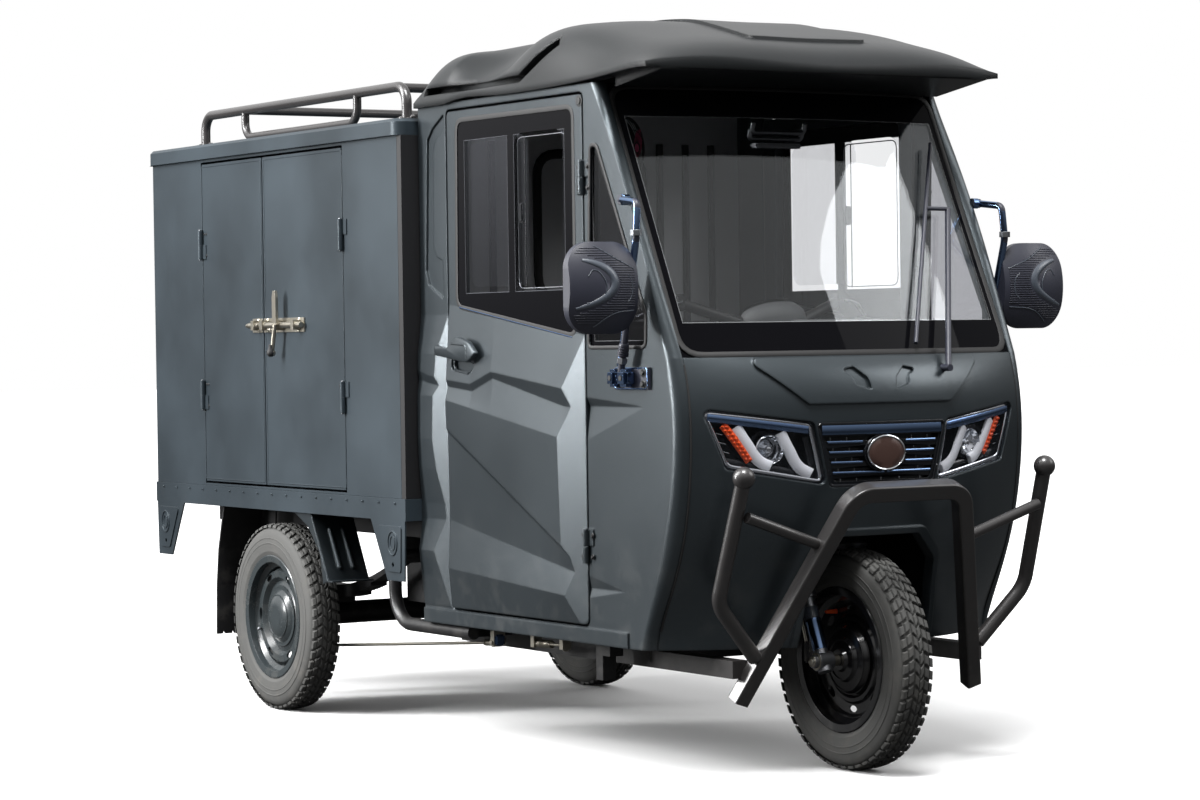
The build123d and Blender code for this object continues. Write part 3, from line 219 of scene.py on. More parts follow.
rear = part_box("rear_tyre_right")
axleX = (rear[0][0] + rear[1][0]) / 2
wheelY = -(rear[0][1] + rear[1][1]) / 2
axleZ = (rear[0][2] + rear[1][2]) / 2
tyreR = (rear[1][2] - rear[0][2]) / 2
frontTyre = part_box("front_tyre")
frontX = (frontTyre[0][0] + frontTyre[1][0]) / 2


def fore(x, y, z):
    # Millimetres from the front axle's middle, on the ground
    return Vector((frontX + x / 1000, y / 1000, z / 1000))


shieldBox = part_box("windshield")
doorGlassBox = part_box("door_glass_right")
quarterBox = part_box("quarter_glass")


fade = 0.002
shieldPrint = {"side": 0.026, "low": 0.078, "high": 0.080}
doorPrint = {"rear": 0.045, "both": 0.087, "front": 0.042, "low": 1.112, "top": 0.052, "post": 0.475,
             "post_half": 0.017}
quarterPrint = {"low": 0.016, "rear": 0.022, "corner": 0.045, "slope": 1.85, "edge": 0.03}


def shieldBorder(x, y, z):
    low, high = shieldBox[0][2], shieldBox[1][2]
    wide = (abs(y) - (shieldBox[1][1] - shieldPrint["side"])).ramp(0.0, fade)
    under = (low + shieldPrint["low"] - z).ramp(0.0, fade)
    return wide.most(under).most((z - (high - shieldPrint["high"])).ramp(0.0, fade))


def doorPost():
    # Place of the bar between the door's two panes
    x0, x1 = doorGlassBox[0][0], doorGlassBox[1][0]
    return x0 + doorPrint["rear"] + (x1 - x0 - doorPrint["both"]) * doorPrint["post"]


def doorBorder(x, y, z):
    # Printed edge round the part of the pane that the door's inner panel leaves open
    (x0, _, _), (x1, _, z1) = doorGlassBox
    edge = (x0 + doorPrint["rear"] - x).ramp(0.0, fade).most((x - (x1 - doorPrint["front"])).ramp(0.0, fade))
    edge = edge.most((doorPrint["post_half"] - abs(x - doorPost())).ramp(0.0, fade))
    return edge.most((doorPrint["low"] - z).ramp(0.0, fade)).most((z - (z1 - doorPrint["top"])).ramp(0.0, fade))


def quarterBorder(x, y, z):
    (x0, _, z0), (_, _, z1) = quarterBox
    slope = (x - (x0 + quarterPrint["corner"])) * quarterPrint["slope"] + (z - z1)
    edge = (z0 + quarterPrint["low"] - z).ramp(0.0, fade).most((x0 + quarterPrint["rear"] - x).ramp(0.0, fade))
    return edge.most((slope + quarterPrint["edge"]).ramp(0.0, fade))


paints = {
    # body and box reflections carry a painted blue tint standing in for bluish sky light
    "body_paint": {"colour": (0.013, 0.0168, 0.0195), "rough": 0.30, "grain": 430.0, "depth": 0.5, "spec": 0.9,
                   "edge": 0.006, "painted_sky_tint": (0.82, 0.93, 1.0)},
    # the box paint's high drift is partly random unevenness and partly painted shade, darkening and lightening
    # its leaves in place of the light that falls on them
    "box_paint": {"colour": (0.018, 0.025, 0.031), "rough": 0.44, "uneven_and_painted_shade": 0.32, "grain": 600.0, "depth": 0.35,
                  "spec": 0.45, "painted_sky_tint": (0.8, 0.92, 1.0)},
    # roof paint: the body paint made darker and less reflective on the cab's top, painted shade; its wide edge
    # softening smooths the roof's creases
    "roof_paint": {"colour": (0.012, 0.0135, 0.0145), "rough": 0.36, "grain": 430.0, "depth": 0.3, "spec": 0.30,
                   "edge": 0.02},
    "box_black": {"colour": (0.006, 0.006, 0.007), "rough": 0.5, "grain": 900.0, "depth": 0.2},
    "frame_black": {"colour": (0.014, 0.014, 0.015), "rough": 0.38, "grain": 600.0, "depth": 0.2, "dust": 0.4},
    "gloss_black_tube": {"colour": (0.027, 0.025, 0.025), "rough": 0.34, "grain": 300.0, "depth": 0.06,
                         "spec": 0.6, "coat": 0.35},
    "black_plastic": {"colour": (0.010, 0.010, 0.011), "rough": 0.5, "grain": 1500.0, "depth": 0.5,
                      "dust": 0.4},
    "gloss_plastic_black": {"colour": (0.006, 0.007, 0.009), "rough": 0.22, "grain": 900.0, "depth": 0.08},
    "zinc": {"colour": (0.50, 0.47, 0.40), "rough": 0.32, "grain": 500.0, "depth": 0.2, "metal": 1.0},
    "steel": {"colour": (0.30, 0.31, 0.33), "rough": 0.36, "grain": 600.0, "depth": 0.2, "metal": 1.0},
    "chrome": {"colour": (0.75, 0.77, 0.80), "rough": 0.07, "grain": 100.0, "depth": 0.02, "metal": 1.0},
    "blue_chrome": {"colour": (0.16, 0.24, 0.40), "rough": 0.16, "grain": 200.0, "depth": 0.03, "metal": 1.0},
    "amber": {"colour": (0.85, 0.10, 0.02), "rough": 0.2, "grain": 300.0, "depth": 0.05, "dust": 0.0},
    "light_guide": {"colour": (0.85, 0.87, 0.90), "rough": 0.25, "grain": 300.0, "depth": 0.03, "dust": 0.0},
    "badge_brown": {"colour": (0.055, 0.028, 0.022), "rough": 0.35, "grain": 2500.0, "depth": 0.5, "dust": 0.0},
    "red_lens": {"colour": (0.32, 0.01, 0.01), "rough": 0.12, "grain": 300.0, "depth": 0.05, "coat": 0.6},
    "tyre": {"colour": (0.082, 0.082, 0.079), "rough": 0.72, "grain": 260.0, "depth": 0.5, "spec": 0.3,
             "dust": 0.5},
    "wheel_grey": {"colour": (0.030, 0.037, 0.040), "rough": 0.26, "grain": 900.0, "depth": 0.15, "dust": 0.3,
                   "coat": 0.2},
    "wheel_black": {"colour": (0.006, 0.006, 0.007), "rough": 0.17, "grain": 900.0, "depth": 0.08, "coat": 0.4},
    "mirror_shell": {"colour": (0.026, 0.028, 0.042), "rough": 0.42, "grain": 900.0, "depth": 0.15},
    "mirror_silver": {"colour": (0.060, 0.072, 0.092), "rough": 0.32, "grain": 600.0, "depth": 0.05,
                      "spec": 0.8},
    "mirror_glass": {"colour": (0.72, 0.75, 0.78), "rough": 0.02, "grain": 50.0, "depth": 0.0, "metal": 1.0,
                     "dust": 0.0},
    "rubber": {"colour": (0.009, 0.009, 0.0095), "rough": 0.6, "grain": 900.0, "depth": 0.4},
    "seat_cover": {"colour": (0.015, 0.015, 0.017), "rough": 0.5, "grain": 700.0, "depth": 0.6, "dust": 0.0},
    "trim_grey": {"colour": (0.050, 0.052, 0.054), "rough": 0.62, "grain": 900.0, "depth": 0.4, "dust": 0.0},
    "wall_grey": {"colour": (0.52, 0.53, 0.54), "rough": 0.6, "grain": 900.0, "depth": 0.3, "dust": 0.0},
    "fan_pink": {"colour": (0.60, 0.05, 0.16), "rough": 0.3, "grain": 300.0, "depth": 0.05, "dust": 0.0},
}
materials = {name: paint("m_" + name, look) for name, look in paints.items()}
materials["clear_glass"] = glassMaterial("m_windshield", {
    "body": (0.004, 0.004, 0.005), "mirror": (0.9, 0.93, 0.95), "tint": (0.97, 0.975, 0.98), "veil": 0.03,
    "shine": 0.9, "gloss": 0.02}, shieldBorder)
materials["door_glass"] = glassMaterial("m_doorGlass", {
    "body": (0.004, 0.004, 0.005), "mirror": (0.56, 0.58, 0.64), "tint": (0.97, 0.97, 0.975), "veil": 0.04,
    "shine": 1.0}, doorBorder)
materials["tinted_glass"] = glassMaterial("m_quarterGlass", {
    "body": (0.004, 0.004, 0.005), "mirror": (0.8, 0.82, 0.85), "tint": (0.66, 0.66, 0.68), "veil": 0.05,
    "shine": 1.0}, quarterBorder)
materials["lamp_glass"] = glassMaterial("m_lampCover", {
    "mirror": (0.8, 0.88, 1.0), "tint": (0.99, 0.99, 1.0), "veil": 0.02, "shine": 0.8})
# the cab roof takes the darker copy of the body paint, painted shade on its top
special = {"mirrors": "mirror_shell", "wiper": "mirror_shell", "cab_rear_wall": "wall_grey",
           "door_glass_right": "door_glass", "door_glass_left": "door_glass", "cab_roof": "roof_paint"}
for part in frame["record"]["subparts"]:
    node = frame["nodes"][part["node"]]
    node.data.materials.clear()
    own = special.get(part["node"], part["material_slot"])
    node.data.materials.append(materials[own])
print("materials done")


# Helpers for pieces

def surfaceTree(*nodes):
    mesh = bmesh.new()
    for name in nodes:
        mesh.from_mesh(frame["nodes"][name].data)
    tree = BVHTree.FromBMesh(mesh)
    mesh.free()
    return tree


def keep(name, mesh, material, body, smooth=40.0):
    # Turns a bmesh into a piece that rides on a body
    data = bpy.data.meshes.new(name)
    bmesh.ops.recalc_face_normals(mesh, faces=mesh.faces)
    mesh.to_mesh(data)
    mesh.free()
    return keepData(name, data, material, body, smooth)


def keepData(name, data, material, body, smooth=40.0):
    if not len(data.materials):
        data.materials.append(materials[material])
    data.shade_smooth()
    data.set_sharp_from_angle(angle=math.radians(smooth))
    piece = bpy.data.objects.new(name, data)
    scene.collection.objects.link(piece)
    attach(piece, body)
    return piece


def addBlock(mesh, low, high, bevel=0.0, turn=None):
    # Rounded block between two corners, turned about its middle
    low, high = Vector(low), Vector(high)
    made = bmesh.ops.create_cube(mesh, size=1.0)["verts"]
    for v in made:
        v.co = Vector((v.co[k] * (high[k] - low[k]) for k in range(3)))
    if bevel:
        edges = {e for v in made for e in v.link_edges}
        made = bmesh.ops.bevel(mesh, geom=list(edges), offset=bevel, segments=2, affect="EDGES")["verts"]
    for v in made:
        v.co = (turn @ v.co if turn else v.co) + (low + high) / 2


def circle(count):
    # Cosine and sine of even steps round a circle
    return [(math.cos(a), math.sin(a)) for a in (2 * math.pi * k / count for k in range(count))]


def addSkin(mesh, rings, closed=True):
    # Faces between rings of points, each ring closed or left open
    count = len(rings[0])
    for one, two in zip(rings, rings[1:]):
        for j in range(count if closed else count - 1):
            k = (j + 1) % count
            mesh.faces.new((one[j], one[k], two[k], two[j]))


def frameOf(direction):
    direction = direction.normalized()
    side = direction.cross(Vector((0, 0, 1)))
    side = side.normalized() if side.length > 0.01 else Vector((1, 0, 0))
    return side, side.cross(direction)


def addTube(mesh, points, radius, sides=12, closed=False, flat=1.0):
    # Tube along points, with a radius for each or one for all; flat squeezes its section
    points = [Vector(p) for p in points]
    radii = radius if isinstance(radius, (list, tuple)) else [radius] * len(points)
    rings = []
    count = len(points)
    side = None
    for k, point in enumerate(points):
        before = points[k - 1] if k or closed else point
        after = points[(k + 1) % count] if k < count - 1 or closed else point
        heading = (after - before).normalized()
        if side is None:
            side, up = frameOf(heading)
        else:
            side = (side - heading * side.dot(heading)).normalized()
            up = side.cross(heading)
        rings.append([mesh.verts.new(point + radii[k] * (c * side + flat * w * up)) for c, w in circle(sides)])
    addSkin(mesh, rings + rings[:1] if closed else rings)
    if not closed:
        mesh.faces.new(list(reversed(rings[0])))
        mesh.faces.new(rings[-1])


def addLathe(mesh, profile, origin, axis, sides=32):
    # Turned shape: (distance along the axis, radius) pairs
    origin, axis = Vector(origin), Vector(axis).normalized()
    side, up = frameOf(axis)
    rings = []
    for along, radius in profile:
        middle = origin + axis * along
        if radius < 1e-6:
            rings.append([mesh.verts.new(middle)])
        else:
            rings.append([mesh.verts.new(middle + radius * (c * side + w * up)) for c, w in circle(sides)])
    for one, two in zip(rings, rings[1:]):
        for j in range(sides):
            k = (j + 1) % sides
            if len(one) == 1 and len(two) > 1:
                mesh.faces.new((one[0], two[k], two[j]))
            elif len(two) == 1 and len(one) > 1:
                mesh.faces.new((one[j], one[k], two[0]))
            elif len(one) > 1:
                mesh.faces.new((one[j], one[k], two[k], two[j]))


def addBolt(mesh, place, axis, radius=0.007, height=0.005):
    # Hexagon head on a washer
    r, h = radius, height
    addLathe(mesh, [(0, 0), (0, r * 1.5), (0.0012, r * 1.5), (0.0014, r * 1.25)], place, axis, 20)
    addLathe(mesh, [(0.0012, r), (h, r), (h + 0.001, r * 0.85), (h + 0.001, 0)], place, axis, 6)


def smoothPath(points, step=0.012, closed=False):
    # Even points along a smooth curve through the given ones
    data = bpy.data.curves.new("path", "CURVE")
    data.dimensions = "3D"
    line = data.splines.new("BEZIER")
    line.bezier_points.add(len(points) - 1)
    for end, p in zip(line.bezier_points, points):
        end.co = p
        end.handle_left_type = end.handle_right_type = "AUTO"
    line.use_cyclic_u = closed
    line.resolution_u = 12
    holder = bpy.data.objects.new("path", data)
    made = bpy.data.meshes.new_from_object(holder)
    found = [v.co.copy() for v in made.vertices]
    bpy.data.objects.remove(holder)
    bpy.data.meshes.remove(made)
    return found


def cornered(points, radius, closed=True, pieces=5):
    # A run of flat points with its corners rounded
    points = [Vector(p) for p in points]
    out = []
    count = len(points)
    for k, here in enumerate(points):
        if not closed and k in (0, count - 1):
            out.append(here)
            continue
        back, on = points[k - 1] - here, points[(k + 1) % count] - here
        size = min(radius, back.length * 0.45, on.length * 0.45)
        a, b = here + back.normalized() * size, here + on.normalized() * size
        for j in range(pieces + 1):
            t = j / pieces
            out.append(a * (1 - t) ** 2 + here * 2 * t * (1 - t) + b * t * t)
    return out


def divided(points, step, closed=False):
    # The same run cut into short even lengths
    out = []
    ends = list(zip(points, points[1:])) + ([(points[-1], points[0])] if closed else [])
    for a, b in ends:
        parts = max(1, int((b - a).length / step))
        out += [a + (b - a) * j / parts for j in range(parts)]
    return out if closed else out + [points[-1]]


def onSide(tree, x, z, side=-1, lift=0.0):
    # Where a line across the vehicle meets a surface, from the given side
    hit = tree.ray_cast(Vector((x, side * 2.0, z)), Vector((0, -side, 0)))
    return Vector((x, hit[0].y + side * lift, z)) if hit[0] else None


def onFront(tree, y, z, lift=0.0):
    # The same from the front, looking just beside a seam where the line falls into one
    for aside in (0.0, 0.002, -0.002, 0.006, -0.006):
        hit = tree.ray_cast(Vector((4.0, y + aside, z + abs(aside))), Vector((-1, 0, 0)))
        if hit[0] and hit[0].x > frontX - 0.4:
            return Vector((hit[0].x + lift, y, z))
    return None


def addRibbon(mesh, points, normal, width, thick, closed=False):
    # Flat strip with a crowned back that follows points and faces along normal
    points = [Vector(p) for p in points]
    normal = Vector(normal).normalized()
    rings = []
    count = len(points)
    for k, point in enumerate(points):
        before = points[k - 1] if k or closed else point
        after = points[(k + 1) % count] if k < count - 1 or closed else point
        across = (after - before).normalized().cross(normal).normalized() * width / 2
        rings.append([mesh.verts.new(point + across * u + normal * thick * w)
                      for u, w in ((-1, 0), (-1, 0.55), (-0.6, 1), (0.6, 1), (1, 0.55), (1, 0))])
    addSkin(mesh, rings + rings[:1] if closed else rings)
    if not closed:
        mesh.faces.new(list(reversed(rings[0])))
        mesh.faces.new(rings[-1])


def addPlate(mesh, points, depth, bevel=0.0):
    # Plate with an outline, thickened along depth, its far edges softened
    depth = Vector(depth)
    base = [mesh.verts.new(p) for p in points]
    face = mesh.faces.new(base)
    raised = bmesh.ops.extrude_face_region(mesh, geom=[face])["geom"]
    top = [v for v in raised if isinstance(v, bmesh.types.BMVert)]
    middle = sum((v.co for v in top), Vector()) / len(top)
    for v in top:
        v.co += depth
    if bevel:
        centre = middle + depth
        for v in top:
            v.co += (centre - v.co).normalized() * bevel


class Repeat:
    # Copies of one small mesh, each one step and one turn further on, made with geometry nodes
    def __init__(self, name):
        self.group = bpy.data.node_groups.new(name, "GeometryNodeTree")
        face = self.group.interface
        face.new_socket("Geometry", in_out="INPUT", socket_type="NodeSocketGeometry")
        for title, kind in (("Count", "Int"), ("Step", "Vector"), ("Turn", "Vector"), ("Material", "Material")):
            face.new_socket(title, in_out="INPUT", socket_type="NodeSocket" + kind)
        face.new_socket("Geometry", in_out="OUTPUT", socket_type="NodeSocketGeometry")
        start, end = self.node("NodeGroupInput"), self.node("NodeGroupOutput")
        points = self.node("GeometryNodePoints", None, {"Count": start.outputs["Count"]})
        index = self.node("GeometryNodeInputIndex")
        shift = self.node("ShaderNodeVectorMath", {"operation": "SCALE"},
                          {0: start.outputs["Step"], "Scale": index.outputs[0]})
        turn = self.node("ShaderNodeVectorMath", {"operation": "SCALE"},
                         {0: start.outputs["Turn"], "Scale": index.outputs[0]})
        moved = self.node("GeometryNodeSetPosition", None,
                          {"Geometry": points.outputs[0], "Position": shift.outputs[0]})
        copies = self.node("GeometryNodeInstanceOnPoints", None, {
            "Points": moved.outputs[0], "Instance": start.outputs["Geometry"], "Rotation": turn.outputs[0]})
        real = self.node("GeometryNodeRealizeInstances", None, {0: copies.outputs[0]})
        coloured = self.node("GeometryNodeSetMaterial", None,
                             {0: real.outputs[0], "Material": start.outputs["Material"]})
        self.group.links.new(coloured.outputs[0], end.inputs[0])

    def node(self, kind, settings=None, inputs=None):
        made = self.group.nodes.new(kind)
        for key, value in (settings or {}).items():
            setattr(made, key, value)
        for key, value in (inputs or {}).items():
            self.group.links.new(value, made.inputs[key])
        return made

    def apply(self, mesh, count, step, turn, material):
        data = bpy.data.meshes.new("one")
        bmesh.ops.recalc_face_normals(mesh, faces=mesh.faces)
        mesh.to_mesh(data)
        mesh.free()
        holder = bpy.data.objects.new("holder", data)
        scene.collection.objects.link(holder)
        modifier = holder.modifiers.new("copies", "NODES")
        modifier.node_group = self.group
        values = {"Count": count, "Step": step, "Turn": turn, "Material": materials[material]}
        for item in self.group.interface.items_tree:
            if item.in_out == "INPUT" and item.name in values:
                modifier[item.identifier] = values[item.name]
        bpy.context.view_layer.update()
        shown = holder.evaluated_get(bpy.context.evaluated_depsgraph_get())
        made = bpy.data.meshes.new_from_object(shown)
        bpy.data.objects.remove(holder)
        bpy.data.meshes.remove(data)
        return made


repeat = Repeat("copies")
print("helpers done")


# Stage and light

floorLook = {"half": 60.0, "seen": 0.93, "felt": 0.05, "near": 5.0, "far": 22.0, "glow": 0.8}
lightLook = {"sky": 1.15, "low": 0.03, "high_share": 0.6, "back_share": 0.55, "aim": (0.2, 0, 0.8)}
# each lamp's place, width, height and power
studioLamps = {"key": ((-1.2, -4.6, 5.2), 3.4, 3.4, 440.0), "side": ((-2.4, -4.8, 2.4), 0.9, 3.2, 400.0),
               "top": ((2.8, -1.4, 6.6), 2.4, 2.4, 600.0), "rim": ((3.6, 4.2, 4.0), 2.5, 2.5, 80.0)}


def seenDirectly(m):
    # 1 where the camera looks straight or through glass, otherwise 0
    camera = m.add("ShaderNodeLightPath", output="Is Camera Ray")
    return camera.most(m.add("ShaderNodeLightPath", output="Is Transmission Ray"))


def makeStage():
    mesh = bpy.data.meshes.new("floor")
    size = floorLook["half"]
    mesh.from_pydata([(-size, -size, 0), (size, -size, 0), (size, size, 0), (-size, size, 0)], [],
                     [(0, 1, 2, 3)])
    floor = bpy.data.objects.new("floor", mesh)
    scene.collection.objects.link(floor)
    m = Shader("floorWhite", Roughness=0.95)
    m.surface.inputs["Specular IOR Level"].default_value = 0.0
    seen = seenDirectly(m)
    m.link(floorLook["felt"] + seen * (floorLook["seen"] - floorLook["felt"]), "Base Color")
    _, x, y, _ = m.place()
    far = (x * x + y * y).ramp(floorLook["near"], floorLook["far"]) * seen
    m.link(far, "Emission Color")
    m.surface.inputs["Emission Strength"].default_value = floorLook["glow"]
    mesh.materials.append(m.material)


def makeLight():
    # The sky is bright overhead and behind, and dim in front and low down
    world = bpy.data.worlds.new("studio")
    scene.world = world
    world.use_nodes = True
    m = Shader.__new__(Shader)
    m.tree = world.node_tree
    background = m.tree.nodes["Background"]
    way = m.add("ShaderNodeTexCoord", output="Generated")
    split = m.tree.nodes.new("ShaderNodeSeparateXYZ")
    m.tree.links.new(way.socket, split.inputs[0])
    x, y, z = (Num(m, split.outputs[k]) for k in range(3))
    high = (z - 0.02).ramp(0.0, 0.55)
    back = (y * -0.25 - x * 0.9).ramp(-0.1, 0.9) * (z + 0.02).ramp(0.0, 0.12)
    shape = high * lightLook["high_share"] + back * lightLook["back_share"]
    felt = lightLook["low"] + shape * lightLook["sky"]
    seen = seenDirectly(m)
    strength = felt * (1.0 - seen) + seen
    m.tree.links.new(strength.socket, background.inputs["Strength"])
    background.inputs["Color"].default_value = (1, 1, 1, 1)
    for name, (place, wide, tall, power) in studioLamps.items():
        data = bpy.data.lights.new(name, "AREA")
        data.shape = "RECTANGLE"
        data.size, data.size_y, data.energy = wide, tall, power
        lamp = bpy.data.objects.new(name, data)
        scene.collection.objects.link(lamp)
        lamp.location = place
        lamp.rotation_euler = (Vector(lightLook["aim"]) - Vector(place)).to_track_quat("-Z", "Y").to_euler()


makeStage()
makeLight()


# Tyres

treadLook = {"pitches": 54, "block": 0.0048, "carcass": 0.2484, "crown": 0.018, "crown_drop": 9.0,
             "shoulder": (0.0146, 0.0272), "lug": (0.0288, 0.0405)}
# one side of the carcass, from the rim up to the tread: distance from the middle and radius
tyreSide = [(0.0392, 0.166), (0.0405, 0.1685), (0.0440, 0.176), (0.0448, 0.178), (0.0448, 0.1795),
            (0.0462, 0.190), (0.0466, 0.198), (0.0472, 0.1985), (0.0472, 0.2005), (0.0466, 0.201),
            (0.0462, 0.212), (0.0468, 0.2125), (0.0468, 0.2150), (0.0458, 0.2155), (0.0440, 0.226),
            (0.0410, 0.2345), (0.0350, 0.2410), (0.0240, 0.2450)]


def tyreBlock(mesh, low, high, radius, deep, lean):
    # One tread block: a bent slab on the tyre's crown, narrower at its top, leaning across its pitch
    ring = []
    for level, ease in ((radius - deep, 0.0), (radius - 0.0012, 0.0009), (radius, 0.0022)):
        row = []
        for u, v in ((0, 0), (1, 0), (1, 1), (0, 1)):
            y = low[1] + (high[1] - low[1]) * v + (0.5 - v) * 2 * ease
            a = low[0] + (high[0] - low[0]) * u + lean * v + (0.5 - u) * 2 * ease / radius
            drop = max(0.0, abs(y) - treadLook["crown"]) ** 2 * treadLook["crown_drop"]
            r = level - drop
            row.append(mesh.verts.new((r * math.sin(a), y, r * math.cos(a))))
        ring.append(row)
    addSkin(mesh, ring)
    mesh.faces.new(ring[-1])


def makeTyre(name, middle, body, node):
    look = treadLook
    step = 2 * math.pi / look["pitches"]
    mesh = bmesh.new()
    r = tyreR - 0.0004
    # two zigzag rows either side of the middle, then shoulder lugs that reach down the side wall
    tyreBlock(mesh, (0.08 * step, -0.0100), (0.84 * step, 0.0008), r, look["block"], step * 0.32)
    tyreBlock(mesh, (0.58 * step, 0.0024), (1.34 * step, 0.0128), r, look["block"], -step * 0.32)
    for s in (-1, 1):
        shift = 0.0 if s < 0 else 0.5
        y0, y1 = sorted(s * y for y in look["shoulder"])
        tyreBlock(mesh, ((shift + 0.05) * step, y0), ((shift + 0.80) * step, y1), r, look["block"],
                  s * step * 0.2)
        y0, y1 = sorted(s * y for y in look["lug"])
        tyreBlock(mesh, ((shift + 0.3) * step, y0), ((shift + 1.02) * step, y1), r, look["block"] + 0.001,
                  s * step * 0.1)
    blocks = repeat.apply(mesh, look["pitches"], (0, 0, 0), (0, step, 0), "tyre")
    mesh = bmesh.new()
    mesh.from_mesh(blocks)
    bpy.data.meshes.remove(blocks)
    profile = tyreSide + [(0.0, look["carcass"])] + [(-y, q) for y, q in reversed(tyreSide)]
    addLathe(mesh, profile, (0, 0, 0), (0, 1, 0), 72)
    for v in mesh.verts:
        v.co += middle
    tyre = keep(name, mesh, "tyre", body, smooth=32.0)
    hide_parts(node)


makeTyre("tyreTreadFront", Vector((frontX, 0, axleZ)), "front_wheel", "front_tyre")
for sideName, s in (("Right", -1), ("Left", 1)):
    low = sideName.lower()
    makeTyre("tyreTread" + sideName, Vector((axleX, s * wheelY, axleZ)), "rear_wheel_" + low,
             "rear_tyre_" + low)
print("tyres done")


# Lamps and grille

lampLook = {"inner_top": (184, 803), "inner_low": (151, 660), "outer_low": (385, 701), "outer_top": (438, 838),
            "under": 0.0085, "strip": 0.021, "cup": 0.031,
            "rim": ((0.035, 0.05), (0.955, 0.07), (0.965, 0.93), (0.035, 0.95)), "dashes": (0.3, 0.45, 0.6),
            "bulb": (0.455, 0.46),
            "guides": (((0.715, 0.76), (0.60, 0.24), (0.50, 0.17)),
                       ((0.315, 0.76), (0.215, 0.24), (0.10, 0.15))),
            "bezels": (((0.07, 0.12), (0.97, 0.14), 0.02), ((0.06, 0.30), (0.06, 0.75), 0.016),
                       ((0.50, 0.72), (0.34, 0.70), 0.014))}
lampTree = surfaceTree("headlamps")
frontTree = surfaceTree("cab_front_panel", "windshield", "cab_side_right", "cab_side_left", "grille",
                        "headlamps")


def lampSpot(s, u, v, sink):
    # u runs from the grille outwards and v from the bottom up, on the cover's face
    look = lampLook
    low = [a + (b - a) * u for a, b in zip(look["inner_low"], look["outer_low"])]
    high = [a + (b - a) * u for a, b in zip(look["inner_top"], look["outer_top"])]
    y, z = (a + (b - a) * v for a, b in zip(low, high))
    hit = lampTree.ray_cast(Vector((4.0, s * y / 1000, z / 1000)), Vector((-1, 0, 0)))
    if hit[0] is None:
        return onFront(frontTree, s * y / 1000, z / 1000, -sink)
    return hit[0] + Vector((-sink, 0, 0))


def makeLamp(s, title):
    look = lampLook
    facing = Vector((0.86, s * 0.5, 0.05))
    run = lambda spots, sink: [lampSpot(s, u, v, sink) for u, v in spots]
    corners = cornered([Vector((u, v, 0)) for u, v in look["rim"]], 0.07)
    edge = run([(c.x, c.y) for c in divided(corners, 0.05, True)], look["under"])
    mesh = bmesh.new()
    addRibbon(mesh, edge, facing, 0.008, 0.003, True)
    keep("lampRim" + title, mesh, "chrome", "root")
    mesh = bmesh.new()
    bar = run([(0.05 + 0.09 * k, 0.865) for k in range(11)], look["under"] + 0.001)
    addRibbon(mesh, bar, facing, 0.019, 0.005)
    keep("lampBar" + title, mesh, "blue_chrome", "root")
    mesh = bmesh.new()
    for v in look["dashes"]:
        addRibbon(mesh, run([(0.865, v), (0.925, v + 0.01)], 0.016), facing, 0.0022, 0.002)
    keep("lampDashes" + title, mesh, "chrome", "root")
    mesh = bmesh.new()
    amber = run([(0.83 - 0.125 * k / 9, 0.77 - 0.56 * k / 9) for k in range(10)], 0.014)
    addRibbon(mesh, amber, facing, 0.019, 0.004)
    for k, p in enumerate(amber[:-1]):
        middle = (p + amber[k + 1]) / 2 + facing * 0.004
        for w in (-0.0048, 0.0048):
            side = facing.cross(Vector((0, 0, 1))).normalized() * w
            addLathe(mesh, [(0, 0.0052), (0.004, 0.001), (0.004, 0)], middle + side, facing, 4)
    keep("lampAmber" + title, mesh, "amber", "root", smooth=20)
    mesh = bmesh.new()
    for start, low, end in look["guides"]:
        path = smoothPath(run([start, ((start[0] + low[0]) / 2 + 0.012, 0.5), low, end], 0.018))
        addRibbon(mesh, path, facing, look["strip"] * 1.25, 0.009)
    keep("lampGuides" + title, mesh, "light_guide", "root")
    middle = lampSpot(s, *look["bulb"], 0.030)
    axis = Vector((0.97, s * 0.22, 0.0)).normalized()
    mesh = bmesh.new()
    r = look["cup"]
    cup = [(0.016, r + 0.003), (0.018, r + 0.001), (0.016, r), (0.004, r * 0.8), (-0.006, r * 0.5),
           (-0.010, r * 0.22)]
    addLathe(mesh, cup + [(-0.010, 0)], middle, axis, 24)
    addLathe(mesh, [(-0.010, 0.009), (0.006, 0.009), (0.010, 0.006), (0.012, 0)], middle, axis, 16)
    keep("lampReflector" + title, mesh, "chrome", "root", smooth=12)
    mesh = bmesh.new()
    for a, b, wide in look["bezels"]:
        line = [(a[0] + (b[0] - a[0]) * k / 6, a[1] + (b[1] - a[1]) * k / 6) for k in range(7)]
        addRibbon(mesh, run(line, 0.024), facing, wide, 0.006)
    keep("lampBezel" + title, mesh, "gloss_plastic_black", "root")


makeLamp(-1, "Right")
makeLamp(1, "Left")

grilleLook = {"slats": (751, 728, 705, 682), "half": 150, "badge": (0.051, 0.038), "badge_z": 0.730,
              "bar": (166, 785), "tick_rows": (762, 739, 716, 693, 671), "ticks": (-138, -96, -30, 22, 84, 132),
              "tick_lean": 7, "frame": [(-176, 798), (-144, 658), (144, 658), (176, 798)]}


def frontRun(y0, y1, z, lift, parts):
    # Points along a level line on the nose
    out = []
    for k in range(parts + 1):
        y = (y0 + (y1 - y0) * (k / parts)) / 1000
        out.append(onFront(frontTree, y, z / 1000, lift))
    return out


